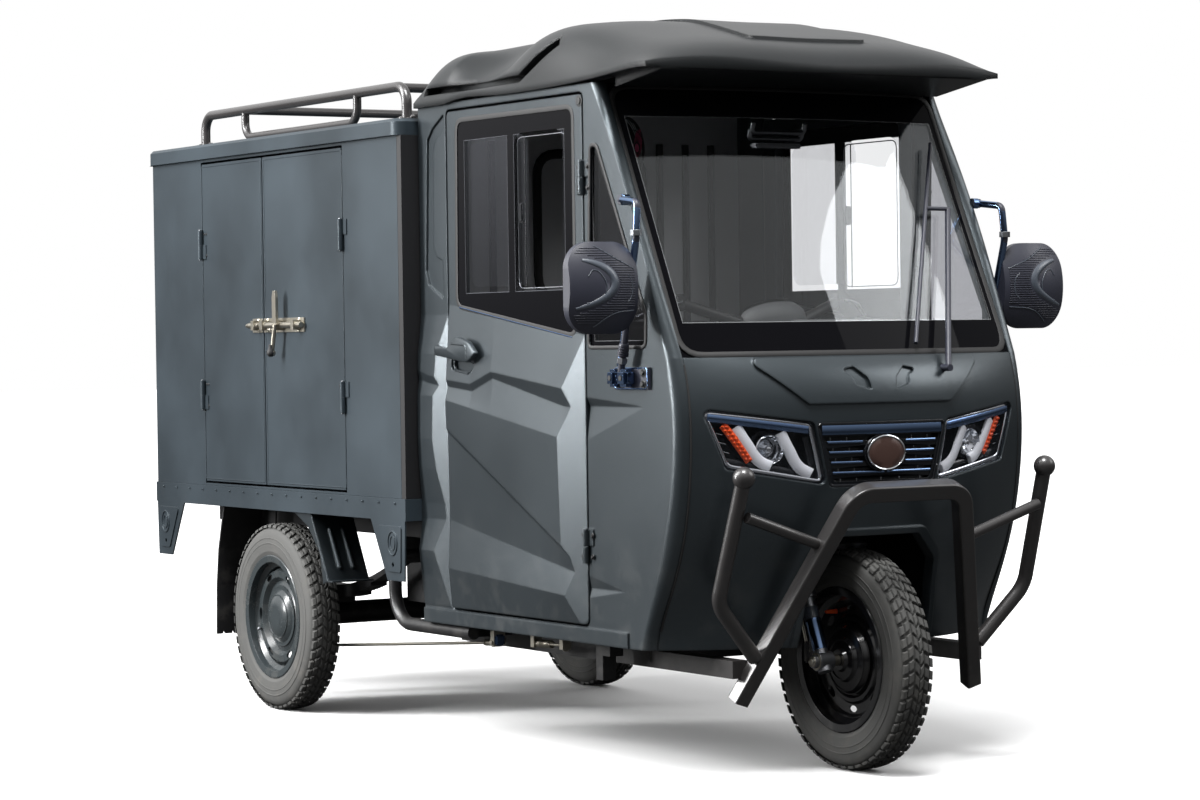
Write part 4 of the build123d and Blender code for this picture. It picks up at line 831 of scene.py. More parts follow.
def makeGrille():
    look = grilleLook
    forward = Vector((1, 0, 0.1))
    mesh = bmesh.new()
    half, z = look["bar"]
    addRibbon(mesh, frontRun(-half, half, z, -0.0005, 20), forward, 0.024, 0.0022)
    keep("grilleBar", mesh, "blue_chrome", "root")
    mesh = bmesh.new()
    badgeHalf = look["badge"][0] * 1000 + 9
    for z in look["slats"]:
        half = look["half"] - (751 - z) * 0.2
        for s in (-1, 1):
            near = badgeHalf if z > 690 else 4
            across = [s * (near + (half - near) * k / 8) for k in range(9)]
            edge = [onFront(frontTree, y / 1000, (z + 5) / 1000, 0.0006) for y in across]
            addRibbon(mesh, edge, forward, 0.0055, 0.0016)
    keep("grilleEdges", mesh, "blue_chrome", "root")
    mesh = bmesh.new()
    for row, z in enumerate(look["tick_rows"]):
        for place in look["ticks"]:
            y = place + row * look["tick_lean"]
            if abs(y) > badgeHalf or not 692 < z < 765:
                top = onFront(frontTree, y / 1000, z / 1000, 0.001)
                if top:
                    addBlock(mesh, top - Vector((0.004, 0.0012, 0.0055)), top + Vector((0.002, 0.0012, 0.0055)),
                             0.0005)
    keep("grilleTicks", mesh, "chrome", "root")
    a, b = look["badge"]
    face = onFront(frontTree, 0.0, look["badge_z"], 0.0)
    mesh = bmesh.new()
    addTube(mesh, [face + Vector((0.0012, a * c, b * w)) for c, w in circle(48)], 0.0024, 8, True)
    keep("badgeRing", mesh, "chrome", "root")
    mesh = bmesh.new()
    rings = []
    for share, out in ((0.965, 0.0004), (0.93, 0.0018), (0.6, 0.0030), (0.3, 0.0036)):
        ring = [face + Vector((out, share * a * c, share * b * w)) for c, w in circle(40)]
        rings.append([mesh.verts.new(p) for p in ring])
    addSkin(mesh, rings)
    mesh.faces.new(rings[-1])
    keep("badgeBlank", mesh, "badge_brown", "root")
    loop = divided(cornered([Vector((y, z, 0)) for y, z in look["frame"]], 12), 14, True)
    mesh = bmesh.new()
    loop = [onFront(frontTree, p.x / 1000, p.y / 1000, 0.0004) for p in loop]
    addRibbon(mesh, loop, forward, 0.0065, 0.003, True)
    keep("grilleFrame", mesh, "gloss_plastic_black", "root")


makeGrille()
print("lamps and grille done")


# Cab: seals, trims, handles, hinges

cabLook = {"frame": 0.012, "seal": 0.015, "seam": 0.005, "sill": 0.0035, "sill_rise": 0.078,
           "pane_depth": 0.0102, "pane_low": 1.118, "pane_under_top": 0.058,
           "hinge_bolts": (0.493, 0.542, 1.343, 1.392), "hinge_bolt": 0.0042, "seam_from": 0.335,
           "seam_to": 0.935}
# paddle and cup of the door handle, in millimetres from the door's rear edge and above the ground
handleLook = {"from_edge": 0.020,
              "paddle": [(-20, 986), (-20, 961), (139, 942), (184, 963), (150, 992), (91, 1005), (41, 976)],
              "cup": ((32, 990), (32, 926), (128, 914), (142, 930), (142, 985)), "stand_off": 0.009}
sideTree = surfaceTree("cab_side_right", "cab_door_right", "door_glass_right", "quarter_glass")
flatY = -doorGlassBox[0][1] + 0.001


def mirrored(points, s):
    return [Vector((p.x, p.y * (-s), p.z)) for p in points]


def doorWindow(grow):
    # The window's outline on the right-hand door's flat side
    (x0, _, z0), (x1, _, z1) = doorGlassBox
    corners = [(x0 + 0.008 - grow, z1 + grow), (x0 - grow, z0 + cabLook["sill_rise"] - grow * 0.8),
               (x1 + grow, z0 - grow),
               (x1 + grow, z1 - 0.002 + grow)]
    return cornered([Vector((x, -flatY, z)) for x, z in corners], 0.03)


def makeDoorTrim(s, title):
    body = "door_" + title.lower()
    normal = (0, s, 0)
    place = lambda points: mirrored(points, s)
    mesh = bmesh.new()
    addRibbon(mesh, place(divided(doorWindow(0.001), 0.03, True)), normal, cabLook["frame"], 0.0012, True)
    (x0, _, z0), (x1, _, z1) = doorGlassBox
    keep("windowFrame" + title, mesh, "rubber", body)
    mesh = bmesh.new()
    sill = [Vector((x0 + 0.012 + (x1 - x0 - 0.024) * k / 10, -flatY - 0.0010,
                    z0 + 0.0755 - cabLook["sill_rise"] * k / 10 - 0.001)) for k in range(11)]
    addRibbon(mesh, place(sill), normal, cabLook["sill"], 0.0008)
    keep("windowSill" + title, mesh, "blue_chrome", body)
    # sliding pane: thin bright edge all round, and a grip on its leading edge
    glass = -flatY + cabLook["pane_depth"]
    post = doorPost()
    low, high = cabLook["pane_low"], z1 - cabLook["pane_under_top"]
    mesh = bmesh.new()
    pane = cornered([Vector((post + 0.020, glass, low)), Vector((x1 - 0.047, glass, low)),
                     Vector((x1 - 0.047, glass, high)),
                     Vector((post + 0.020, glass, high))], 0.022)
    addRibbon(mesh, place(divided(pane, 0.03, True)), normal, 0.0028, 0.002, True)
    keep("slidingPane" + title, mesh, "steel", body)
    mesh = bmesh.new()
    addRibbon(mesh, place([Vector((post + 0.052, glass + 0.001, low)),
                           Vector((post + 0.052, glass + 0.001, high))]), normal, 0.0030, 0.002)
    grip = place([Vector((post + 0.036, glass, (low + high) / 2))])[0]
    addBlock(mesh, grip - Vector((0.009, 0.006, 0.024)), grip + Vector((0.009, 0.006, 0.024)), 0.003)
    keep("sliderGrip" + title, mesh, "gloss_plastic_black", body)
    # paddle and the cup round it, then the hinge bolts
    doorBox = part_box("cab_door_right")
    px = doorBox[0][0] + handleLook["from_edge"]
    face = doorBox[0][1] + handleLook["stand_off"]
    loop = cornered([Vector((px + x / 1000, face, z / 1000)) for x, z in handleLook["paddle"]], 0.012)
    mesh = bmesh.new()
    rim = []
    middle = sum(loop, Vector()) / len(loop)
    for grow, lift in ((0.0016, 0.0), (0.0016, -0.006), (0.0, -0.0088), (-0.004, -0.0096)):
        ring = []
        for p in loop:
            q = p + (p - middle).normalized() * grow
            ring.append(mesh.verts.new(place([Vector((q.x, p.y + lift, q.z))])[0]))
        rim.append(ring)
    addSkin(mesh, rim)
    mesh.faces.new(rim[-1])
    keep("doorPaddle" + title, mesh, "body_paint", body, smooth=50)
    mesh = bmesh.new()
    cup = cornered([Vector((px + x / 1000, 0, z / 1000)) for x, z in handleLook["cup"]], 0.012)
    ring = [onSide(sideTree, p.x + (0.004 if p.x < px + 0.05 else 0), p.z, -1, 0.0)
            for p in divided(cup, 0.01, True)]
    ring = [Vector((p.x, min(p.y, -flatY - 0.008), p.z)) for p in ring if p]
    addRibbon(mesh, place(ring), normal, 0.006, 0.002, True)
    keep("handleCup" + title, mesh, "body_paint", body)
    for leaf, dx, carrier in (("doorHingeBolts", -0.019, body), ("pillarHingeBolts", 0.022, "root")):
        mesh = bmesh.new()
        for z in cabLook["hinge_bolts"]:
            spot = Vector((doorBox[1][0] - 0.004 + dx, -flatY - 0.0035, z))
            addBolt(mesh, place([spot])[0], normal, cabLook["hinge_bolt"], 0.003)
        if carrier == body:
            addBolt(mesh, fore(-374, s * 487.4, 1544), (0, s, 0), 0.009, 0.003)
        keep(leaf + title, mesh, "frame_black", carrier)


makeDoorTrim(-1, "Right")
makeDoorTrim(1, "Left")


def makeCabSeals():
    half = shieldBox[1][1] - 0.003
    low, high = shieldBox[0][2] + 0.004, shieldBox[1][2] - 0.008
    loop = divided(cornered([Vector((0, -half, low)), Vector((0, half, low)), Vector((0, half, high)),
                             Vector((0, -half, high))], 0.05),
                   0.05, True)
    mesh = bmesh.new()
    points = [onFront(frontTree, p.y, p.z, 0.0) for p in loop]
    addRibbon(mesh, [p for p in points if p], (0.9, 0, 0.43), cabLook["seal"], 0.004, True)
    for s in (-1, 1):
        seam = []
        for k in range(24):
            z = cabLook["seam_from"] + (cabLook["seam_to"] - cabLook["seam_from"]) * k / 23
            seam.append(onFront(frontTree, s * (half + 0.0032), z, 0.0))
        addRibbon(mesh, [p for p in seam if p], (0.75, s * 0.66, 0), cabLook["seam"], 0.0014)
    keep("cabSeals", mesh, "rubber", "root")
    mesh = bmesh.new()
    (x0, _, z0), (x1, _, z1) = quarterBox
    outline = [(x0 + 0.018, z1), (x0, z0), (x1 - 0.002, z0), (x1, z0 + 0.075), (x0 + 0.048, z1)]
    for s in (-1, 1):
        loop = cornered([Vector((x, s * (flatY + 0.0005), z)) for x, z in outline], 0.016)
        addRibbon(mesh, divided(loop, 0.03, True), (0, s, 0), 0.009, 0.003, True)
    keep("quarterSeals", mesh, "rubber", "root")
    mesh = bmesh.new()
    for s in (-1, 1):
        for x, z in ((-206, 892), (-206, 918), (-100, 892), (-100, 918)):
            addBolt(mesh, fore(x, s * 495.6, z), (0, s, 0), 0.0065, 0.005)
    keep("cabBolts", mesh, "frame_black", "root")


makeCabSeals()
print("cab trim done")


# Mirrors

mirrorLook = {"place": (-84.0, 606.3, 1108.0), "high": 205.0, "wide": 178.0, "corner": 60.0, "ball": 190.0,
              "half": 26.0, "row": 0.026, "inner": 487.3,
              "ridge": ((0.17, 0.80), (0.62, 0.74), (0.86, 0.44), (0.08, 0.27)), "ridge_half": 10.5,
              "glass": ((-79, -92), (79, -92), (79, 92), (-79, 92)), "arm_radius": 0.0084,
              "arm": ((-170, 25, 934), (-126.5, 29, 1063), (-83, 33, 1220), (-86, 27, 1299), (-158, 20, 1307)),
              "plate": ((-223, 882), (-84, 882), (-84, 928), (-223, 928)),
              "screws": ((-206, 32.4), (-150, 38.4)), "feet": ((-206, 24, 17), (-150, 30, 20))}
# lines pressed into the head, in shares of its width from the outer edge and of its height
mirrorLines = (((0.80, 0.64), (0.86, 0.585), (0.855, 0.40), (0.80, 0.345)),
               ((0.36, 0.955), (0.60, 0.83), (0.94, 0.70)), ((0.33, 0.075), (0.58, 0.215), (0.93, 0.255)),
               ((0.22, 0.62), (0.30, 0.69), (0.43, 0.60), (0.46, 0.47), (0.36, 0.36), (0.2, 0.33)))


def mirrorSpot(s, u, v, lift=0.0):
    # u runs from the head's outer edge inwards and v from the bottom up, on its crowned back
    look = mirrorLook
    dy, dz = (0.5 - u) * look["wide"], (v - 0.5) * look["high"]
    x, y, z = look["place"]
    out = look["half"] - look["ball"] + math.sqrt(look["ball"] ** 2 - dy * dy - dz * dz)
    return fore(x + out + lift, s * (y + dy), z + dz)


def mirrorRidge(t):
    # Middle line of the C-shaped ridge, and its width there
    a, b, c, d = mirrorLook["ridge"]
    k = 1 - t
    u, v = (a[i] * k ** 3 + 3 * b[i] * k * k * t + 3 * c[i] * k * t * t + d[i] * t ** 3 for i in (0, 1))
    return u, v, 0.35 + 0.65 * math.sin(math.pi * t) ** 0.7


def makeMirror(s, title):
    look = mirrorLook
    facing = (1, 0, 0)
    ridge = [mirrorRidge(k / 22) for k in range(23)]
    mesh = bmesh.new()
    rings = []
    for k, (u, v, w) in enumerate(ridge):
        near, far = ridge[max(0, k - 1)], ridge[min(22, k + 1)]
        along = Vector(((far[0] - near[0]) * look["wide"], (far[1] - near[1]) * look["high"])).normalized()
        half = look["ridge_half"] * w
        row = []
        for side, lift in ((-1.0, -0.6), (-0.55, 2.2 * w), (0.0, 3.4 * w), (0.7, 2.4 * w), (1.0, -0.6)):
            du, dv = along.y * side * half / look["wide"], -along.x * side * half / look["high"]
            row.append(mesh.verts.new(mirrorSpot(s, u + du, v + dv, lift)))
        rings.append(row)
    addSkin(mesh, rings, False)
    keep("mirrorRidge" + title, mesh, "mirror_silver", "root", smooth=60)
    mesh = bmesh.new()
    v = 0.12
    while v < 0.93:
        dz = abs(v - 0.5) * look["high"]
        cut = max(0.0, dz - (look["high"] / 2 - look["corner"]))
        edge = (look["corner"] - math.sqrt(max(0.0, look["corner"] ** 2 - cut ** 2)) + 7) / look["wide"]
        run = []
        for k in range(61):
            u = k / 60
            inside = edge < u < 1 - max(edge, 0.05)
            below = v < 0.94 - max(0.0, u - 0.38) ** 1.1 * 0.47
            above = v > 0.28 - max(0.0, 0.9 - u) ** 2 * 0.55
            nearest = min((u - p[0]) ** 2 * 0.75 + (v - p[1]) ** 2 for p in ridge)
            hollow = any(abs(v - p[1]) < 0.03 and u < p[0] for p in ridge if 0.27 < p[1] < 0.8)
            if inside and below and above and nearest > 0.0035 and not hollow:
                run.append(mirrorSpot(s, u, v, -0.2))
            elif run:
                if len(run) > 3:
                    addRibbon(mesh, run, facing, 0.0028, 0.0011)
                run = []
        if len(run) > 3:
            addRibbon(mesh, run, facing, 0.0028, 0.0011)
        v += look["row"]
    keep("mirrorRibs" + title, mesh, "mirror_shell", "root")
    mesh = bmesh.new()
    for line in mirrorLines:
        corners = [Vector((u, v, 0)) for u, v in line]
        path = [mirrorSpot(s, p.x, p.y, -0.2) for p in smoothPath(corners)[::2]]
        addRibbon(mesh, path, facing, 0.0026, 0.0014)
    keep("mirrorLines" + title, mesh, "mirror_silver", "root")
    x, y, z = look["place"]
    mesh = bmesh.new()
    outline = cornered([Vector((0, a, b)) for a, b in look["glass"]], 50)
    addPlate(mesh, [fore(x - look["half"] + 3.9, s * y + p.y, z + p.z) for p in outline], (-0.0016, 0, 0))
    keep("mirrorGlass" + title, mesh, "mirror_glass", "root")
    inner = look["inner"]
    mesh = bmesh.new()
    arm = [fore(a, s * (inner + b), c) for a, b, c in look["arm"]]
    addTube(mesh, cornered(arm, 0.016, False), look["arm_radius"], 14)
    addLathe(mesh, [(0, 0), (0, 0.0125), (0.016, 0.0125), (0.018, 0.0105), (0.018, 0)],
             fore(-167, s * (inner + 0.4), 1308), (0, s, 0), 20)
    keep("mirrorArm" + title, mesh, "blue_chrome", "root")
    mesh = bmesh.new()
    way = (arm[2] - arm[1]).normalized()
    for foot, upward in ((arm[1] - way * 0.128, way), (arm[2] + Vector((0, 0, 0.004)), Vector((0, 0, 1)))):
        addLathe(mesh, [(0, 0), (0, 0.0130), (0.013, 0.0130), (0.014, 0)], foot, upward, 6)
    keep("mirrorNuts" + title, mesh, "steel", "root")
    mesh = bmesh.new()
    ribs = [(0, 0)]
    for k in range(5):
        ribs += [(0.0055 * k, 0.0105), (0.0055 * k + 0.001, 0.0135 - 0.0004 * k),
                 (0.0055 * k + 0.004, 0.0135 - 0.0004 * k)]
    addLathe(mesh, ribs + [(0.030, 0.010), (0.030, 0)], arm[1] - way * 0.112, way, 18)
    keep("mirrorBellows" + title, mesh, "mirror_shell", "root")
    mesh = bmesh.new()
    plate = cornered([fore(a, s * (inner + 8.1), b) for a, b in look["plate"]], 0.01)
    addRibbon(mesh, plate, (0, s, 0), 0.004, 0.0012, True)
    for a, b, c in look["feet"]:
        low = fore(a - c, s * (inner + 8), 886)
        high = fore(a + c, s * (inner + 8 + b), 926)
        addBlock(mesh, [min(p, q) for p, q in zip(low, high)], [max(p, q) for p, q in zip(low, high)], 0.007)
    keep("mirrorFoot" + title, mesh, "blue_chrome", "root")
    mesh = bmesh.new()
    for a, out in look["screws"]:
        spot = fore(a, s * (inner + out), 906)
        addLathe(mesh, [(-0.001, 0.0065), (0.001, 0.0065), (0.001, 0)], spot, (0, s, 0), 6)
    keep("mirrorScrews" + title, mesh, "rubber", "root")


makeMirror(-1, "Right")
makeMirror(1, "Left")
print("mirrors done")


# Things seen through the windshield

fanLook = {"place": (-452.0, -316.0, 1442.0), "radius": 0.072, "wires": 36, "turn": 24.0, "blades": 3,
           "motor": [(-0.052, 0), (-0.052, 0.022), (-0.046, 0.028), (-0.018, 0.030), (-0.016, 0.068),
                     (-0.014, 0.068), (-0.014, 0)],
           "nose": [(-0.004, 0.015), (0.014, 0.015), (0.020, 0.010), (0.021, 0)]}


def makeFan():
    look = fanLook
    spot = fore(*look["place"])
    turn = Matrix.Rotation(math.radians(look["turn"]), 3, "Z")
    r = look["radius"]
    mesh = bmesh.new()
    wire = [Vector((0.030 * (1 - (k / 8) ** 2) + 0.004, 0, r * (0.16 + 0.84 * k / 8))) for k in range(9)]
    addTube(mesh, wire, 0.0007, 4)
    cage = repeat.apply(mesh, look["wires"], (0, 0, 0), (2 * math.pi / look["wires"], 0, 0), "rubber")
    mesh = bmesh.new()
    mesh.from_mesh(cage)
    bpy.data.meshes.remove(cage)
    for x, ring, wide in ((0.034, r * 0.16, 0.0014), (0.026, r * 0.58, 0.0009), (0.004, r, 0.0035),
                          (-0.016, r * 0.96, 0.003)):
        addTube(mesh, [Vector((x, ring * c, ring * w)) for c, w in circle(36)], wide, 6, True)
    addLathe(mesh, look["motor"], (0, 0, 0), (1, 0, 0), 24)
    for v in mesh.verts:
        v.co = turn @ v.co + spot
    keep("fanGuard", mesh, "rubber", "root")
    mesh = bmesh.new()
    for k in range(look["blades"]):
        rings = []
        for m in range(7):
            share = m / 6
            dist = r * (0.20 + 0.70 * share)
            spread = 0.60 + 0.42 * math.sin(math.pi * share)
            row = []
            for j in range(6):
                a = 2 * math.pi * k / look["blades"] + spread * (j / 5 - 0.5) * 1.5 + share * 0.35
                x = 0.012 * (j / 5 - 0.5) + 0.008
                row.append(mesh.verts.new(Vector((x, dist * math.cos(a), dist * math.sin(a)))))
            rings.append(row)
        addSkin(mesh, rings, False)
    addLathe(mesh, look["nose"], (0, 0, 0), (1, 0, 0), 20)
    for v in mesh.verts:
        v.co = turn @ v.co + spot
    keep("fanBlades", mesh, "fan_pink", "root")
    mesh = bmesh.new()
    for side in (-0.006, 0.006):
        addTube(mesh, [spot + Vector((-0.012, side, r * 0.9)), spot + Vector((-0.014, side, 0.118))], 0.0028, 8)
    top = spot + Vector((-0.014, 0, 0.122))
    addBlock(mesh, top - Vector((0.012, 0.016, 0.006)), top + Vector((0.012, 0.016, 0.006)), 0.003)
    keep("fanHanger", mesh, "chrome", "root")


interiorLook = {"pod": [(-0.055, 0), (-0.055, 0.072), (-0.030, 0.084), (-0.004, 0.080), (0.012, 0.066),
                        (0.020, 0.040), (0.022, 0)], "pod_place": (-318, 0, 1046), "pod_lean": (-0.30, 0, 0.95),
                "bar_y": (62, 214), "folds": (-372, -292, -212, 212, 292, 372)}


def gripEnds(s):
    # Outer end of a hand grip and the way along it
    a, b = fore(-444.3, s * 329, 1047.8), fore(-364.3, s * 230, 1077.5)
    return a, (b - a).normalized()


def makeInterior():
    look = interiorLook
    # grab bar and sun panel under the roof's front, over the driver
    mesh = bmesh.new()
    for z, out in ((1512, 0), (1497, 12)):
        y0, y1 = look["bar_y"]
        bar = [fore(-470 - out, y0, z), fore(-478 - out, y0, z - 22), fore(-478 - out, y1, z - 22),
               fore(-470 - out, y1, z)]
        addTube(mesh, cornered(bar, 0.012, False), 0.0065, 10)
    addBlock(mesh, fore(-500, 70, 1452), fore(-470, 206, 1464), 0.004)
    addBlock(mesh, fore(-500, 66, 1524), fore(-470, 200, 1534), 0.004)
    keep("grabBar", mesh, "steel", "root")
    # instrument pod, grips, levers and switch gear on the handlebar
    mesh = bmesh.new()
    middle = fore(*look["pod_place"])
    addLathe(mesh, look["pod"], middle, Vector(look["pod_lean"]), 40)
    keep("instrumentPod", mesh, "trim_grey", "steering")
    mesh = bmesh.new()
    addLathe(mesh, [(0.0195, 0.060), (0.0215, 0.056), (0.0225, 0)], middle + Vector((0, 0, 0.001)),
             Vector(look["pod_lean"]), 40)
    keep("instrumentFace", mesh, "gloss_plastic_black", "steering")
    mesh = bmesh.new()
    for s in (-1, 1):
        a, way = gripEnds(s)
        ribs = [(0, 0), (0, 0.0165)]
        for k in range(16):
            ribs += [(0.004 + 0.0062 * k, 0.0160), (0.006 + 0.0062 * k, 0.0176), (0.009 + 0.0062 * k, 0.0176)]
        addLathe(mesh, ribs + [(0.106, 0.0205), (0.110, 0.0205), (0.110, 0)], a + way * 0.002, way, 18)
        addBlock(mesh, a + way * 0.128 - Vector((0.020, 0.016, 0.020)),
                 a + way * 0.128 + Vector((0.020, 0.016, 0.020)), 0.006)
    keep("handGrips", mesh, "rubber", "steering")
    mesh = bmesh.new()
    for s in (-1, 1):
        a, way = gripEnds(s)
        pivot = a + way * 0.125 + Vector((0.024, 0, 0.004))
        path = smoothPath([pivot, pivot - way * 0.03 + Vector((0.026, 0, 0.002)),
                           pivot - way * 0.08 + Vector((0.030, 0, -0.002)),
                           pivot - way * 0.128 + Vector((0.024, 0, -0.006))])
        addTube(mesh, path, [0.0055] * (len(path) - 2) + [0.007, 0.0075], 10, False, 0.6)
    keep("brakeLevers", mesh, "steel", "steering")
    # pressed folds and a back window frame on the cab's rear wall
    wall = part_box("cab_rear_wall")
    mesh = bmesh.new()
    for y in look["folds"]:
        addRibbon(mesh, [Vector((wall[1][0] - 0.0003, y / 1000, z)) for z in (0.62, 1.0, 1.50)], (1, 0, 0),
                  0.020, 0.007)
    keep("rearWallFolds", mesh, "trim_grey", "root")
    mesh = bmesh.new()
    window = ((-0.16, 1.10), (0.16, 1.10), (0.16, 1.47), (-0.16, 1.47))
    outline = cornered([Vector((wall[1][0] - 0.0003, y, z)) for y, z in window], 0.06)
    addRibbon(mesh, outline, (1, 0, 0), 0.024, 0.008, True)
    keep("rearWindowFrame", mesh, "rubber", "root")


makeFan()
makeInterior()
print("interior done")


# Wheels, fork and brakes

def addCoil(mesh, start, end, radius, wire, turns, sides=6):
    # Spring wound from start to end
    start, end = Vector(start), Vector(end)
    way = (end - start).normalized()
    side, up = frameOf(way)
    count = int(turns * 14)
    path = [start + (end - start) * k / count + radius * (math.cos(a) * side + math.sin(a) * up)
            for k, a in ((k, 2 * math.pi * turns * k / count) for k in range(count + 1))]
    addTube(mesh, path, wire, sides)


# lengths along the lean are in millimetres, radii in metres
forkLook = {"lean": 23, "leg": 85, "sleeve": 0.0174, "collar": 0.0182, "band": 0.0186,
            "cable_place": (-0.026, 0.010), "spring": (112, 186), "coil": 0.0062, "wire": 0.0017, "turns": 11,
            "cable_foot": 20, "cable_spread": 1.15, "cables": ((0, 0.0022), (0.005, 0.0018)),
            "nut": (0.1045, 0.0135, 0.012)}


def makeFork():
    look = forkLook
    lean = math.radians(look["lean"])
    up = Vector((-math.sin(lean), 0, math.cos(lean)))
    along = lambda distance, y: Vector((frontX, y / 1000, axleZ)) + up * (distance / 1000)
    sleeve, collar, band = look["sleeve"], look["collar"], look["band"]
    mesh = bmesh.new()
    for s in (-1, 1):
        addLathe(mesh, [(0.026, 0), (0.026, sleeve), (0.092, sleeve), (0.094, collar), (0.100, collar),
                        (0.100, 0)],
                 along(0, s * look["leg"]), up, 28)
    keep("forkSleeves", mesh, "blue_chrome", "steering")
    mesh = bmesh.new()
    for s in (-1, 1):
        addLathe(mesh, [(0.101, 0), (0.101, band), (0.126, band), (0.128, 0.0178), (0.128, 0)],
                 along(0, s * look["leg"]), up, 28)
    keep("forkBands", mesh, "mirror_silver", "steering")
    mesh = bmesh.new()
    low, high = look["spring"]
    for s in (-1, 1):
        leg = s * look["leg"]
        off = Vector((look["cable_place"][0], s * look["cable_place"][1], 0))
        addCoil(mesh, along(low, leg) + off, along(high, leg) + off, look["coil"], look["wire"], look["turns"])
        for aside, radius in look["cables"]:
            shift = Vector((0, s * aside, 0))
            foot = along(look["cable_foot"], leg) + off * look["cable_spread"] + shift
            addTube(mesh, [along(low, leg) + off + shift, foot], radius, 8)
    keep("brakeSprings", mesh, "zinc", "steering")
    mesh = bmesh.new()
    middle = Vector((frontX, 0, axleZ))
    place, radius, height = look["nut"]
    for s in (-1, 1):
        side = Vector((0, s, 0))
        addBolt(mesh, Vector((frontX, s * place, axleZ)), side, radius, height)
        addLathe(mesh, [(0.119, 0.0084), (0.121, 0.007), (0.121, 0)], middle, side, 16)
        addLathe(mesh, [(0.0455, 0.0134), (0.068, 0.0134), (0.068, 0)], middle, side, 24)
    keep("axleNuts", mesh, "zinc", "steering")
    mesh = bmesh.new()
    addBlock(mesh, along(8, -124) - Vector((0.012, 0.003, 0.010)),
             along(46, -118) + Vector((0.006, 0.003, 0.004)), 0.004)
    keep("cableStop", mesh, "frame_black", "steering")


# profiles are pairs of distance from the wheel's middle plane, or from the valve's foot, and radius
hubLook = {"cap_ring": [(0.0240, 0.0596), (0.0262, 0.0585), (0.0262, 0.0560), (0.0245, 0.0550)],
           "rim_ring": [(0.0136, 0.0812), (0.0152, 0.0822), (0.0152, 0.0790), (0.0142, 0.0782)],
           "drum_rings": ((0.0236, 0.072), (0.0128, 0.0805), (0.0336, 0.046)), "drum_wire": 0.0018}
valveLook = {"angle": 200, "place": 0.126, "lean": 0.30, "front_angle": 118, "front_place": 0.120,
             "front_y": -0.006,
             "stem": [(-0.012, 0), (-0.012, 0.0075), (0.004, 0.006), (0.018, 0.0042), (0.019, 0.0034),
                      (0.027, 0.0034), (0.027, 0)],
             "cap": [(0.0262, 0), (0.0262, 0.0040), (0.033, 0.0040), (0.034, 0.003), (0.034, 0)],
             "front": [(0, 0), (0, 0.0060), (0.020, 0.0045), (0.030, 0.0036), (0.030, 0)]}


def makeWheelTrim():
    # Hub cap rings, valves and drum rings
    look = valveLook
    for title, s in (("Right", -1), ("Left", 1)):
        body = "rear_wheel_" + title.lower()
        middle = Vector((axleX, s * wheelY, axleZ))
        side = Vector((0, s, 0))
        mesh = bmesh.new()
        addLathe(mesh, hubLook["cap_ring"], middle, side, 60)
        addLathe(mesh, hubLook["rim_ring"], middle, side, 64)
        keep("hubRings" + title, mesh, "wheel_grey", body)
        c, w = math.cos(math.radians(look["angle"])), math.sin(math.radians(look["angle"]))
        foot = middle + Vector((look["place"] * c, 0, look["place"] * w))
        out = Vector((-look["lean"] * c, s, -look["lean"] * w)).normalized()
        mesh = bmesh.new()
        addLathe(mesh, look["stem"], foot, out, 14)
        keep("valve" + title, mesh, "rubber", body)
        mesh = bmesh.new()
        addLathe(mesh, look["cap"], foot, out, 12)
        keep("valveCap" + title, mesh, "steel", body)
    mesh = bmesh.new()
    for near, r in hubLook["drum_rings"]:
        ring = [Vector((frontX + r * c, -near - 0.0003, axleZ + r * w)) for c, w in circle(56)]
        addTube(mesh, ring, hubLook["drum_wire"], 6, True)
    keep("drumRings", mesh, "wheel_black", "front_wheel")
    mesh = bmesh.new()
    a = math.radians(look["front_angle"])
    reach = look["front_place"]
    spot = Vector((frontX + reach * math.cos(a), look["front_y"], axleZ + reach * math.sin(a)))
    addLathe(mesh, look["front"], spot, (0, -1, 0), 12)
    keep("frontValve", mesh, "amber", "front_wheel")


rodLook = {"behind": 0.332, "across": 0.420, "high": 0.250, "clevis": 0.014, "clevis_low": 0.006,
           "clevis_high": 0.022, "pin": (0.021, 0.006), "locknuts": (-0.052, -0.062), "locknut": 0.0085,
           "spring": (0.205, 0.262), "coil": 0.0085, "wire": 0.0016, "turns": 8, "cups": (0.180, 0.322),
           "cup": 0.0105, "thick": 0.006}


def makeBrakeRods():
    # Blue clevises, locknuts and adjusting springs on the brake rods
    look = rodLook
    mesh, blue = bmesh.new(), bmesh.new()
    half, thick = look["clevis"], look["thick"]
    reach, pin = look["pin"]
    for s in (-1, 1):
        x, y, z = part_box("brake_rods")[1][0] - look["behind"], s * look["across"], look["high"]
        addBlock(blue, (x - half, y - half, z - look["clevis_low"]),
                 (x + half, y + half, z + look["clevis_high"]), 0.004)
        addLathe(mesh, [(-reach, 0), (-reach, pin), (reach, pin), (reach, 0)], (x, y, z + 0.002), (0, 1, 0), 12)
        for k in look["locknuts"]:
            r = look["locknut"]
            addLathe(mesh, [(0, 0), (0, r), (thick, r), (thick, 0)], (x + k, y, z - 0.0025), (1, 0, 0), 6)
        near, far = look["spring"]
        addCoil(mesh, (x + near, y, 0.2632), (x + far, y, 0.2655), look["coil"], look["wire"], look["turns"])
        for k in look["cups"]:
            r = look["cup"]
            addLathe(mesh, [(0, 0), (0, r), (thick, r), (thick, 0)], (x + k, y, 0.2625), (1, 0, 0), 6)
    keep("rodFittings", mesh, "zinc", "root")
    keep("rodClevises", blue, "blue_chrome", "root")


makeFork()
makeWheelTrim()
makeBrakeRods()
print("wheels and brakes done")


# Cargo box fittings

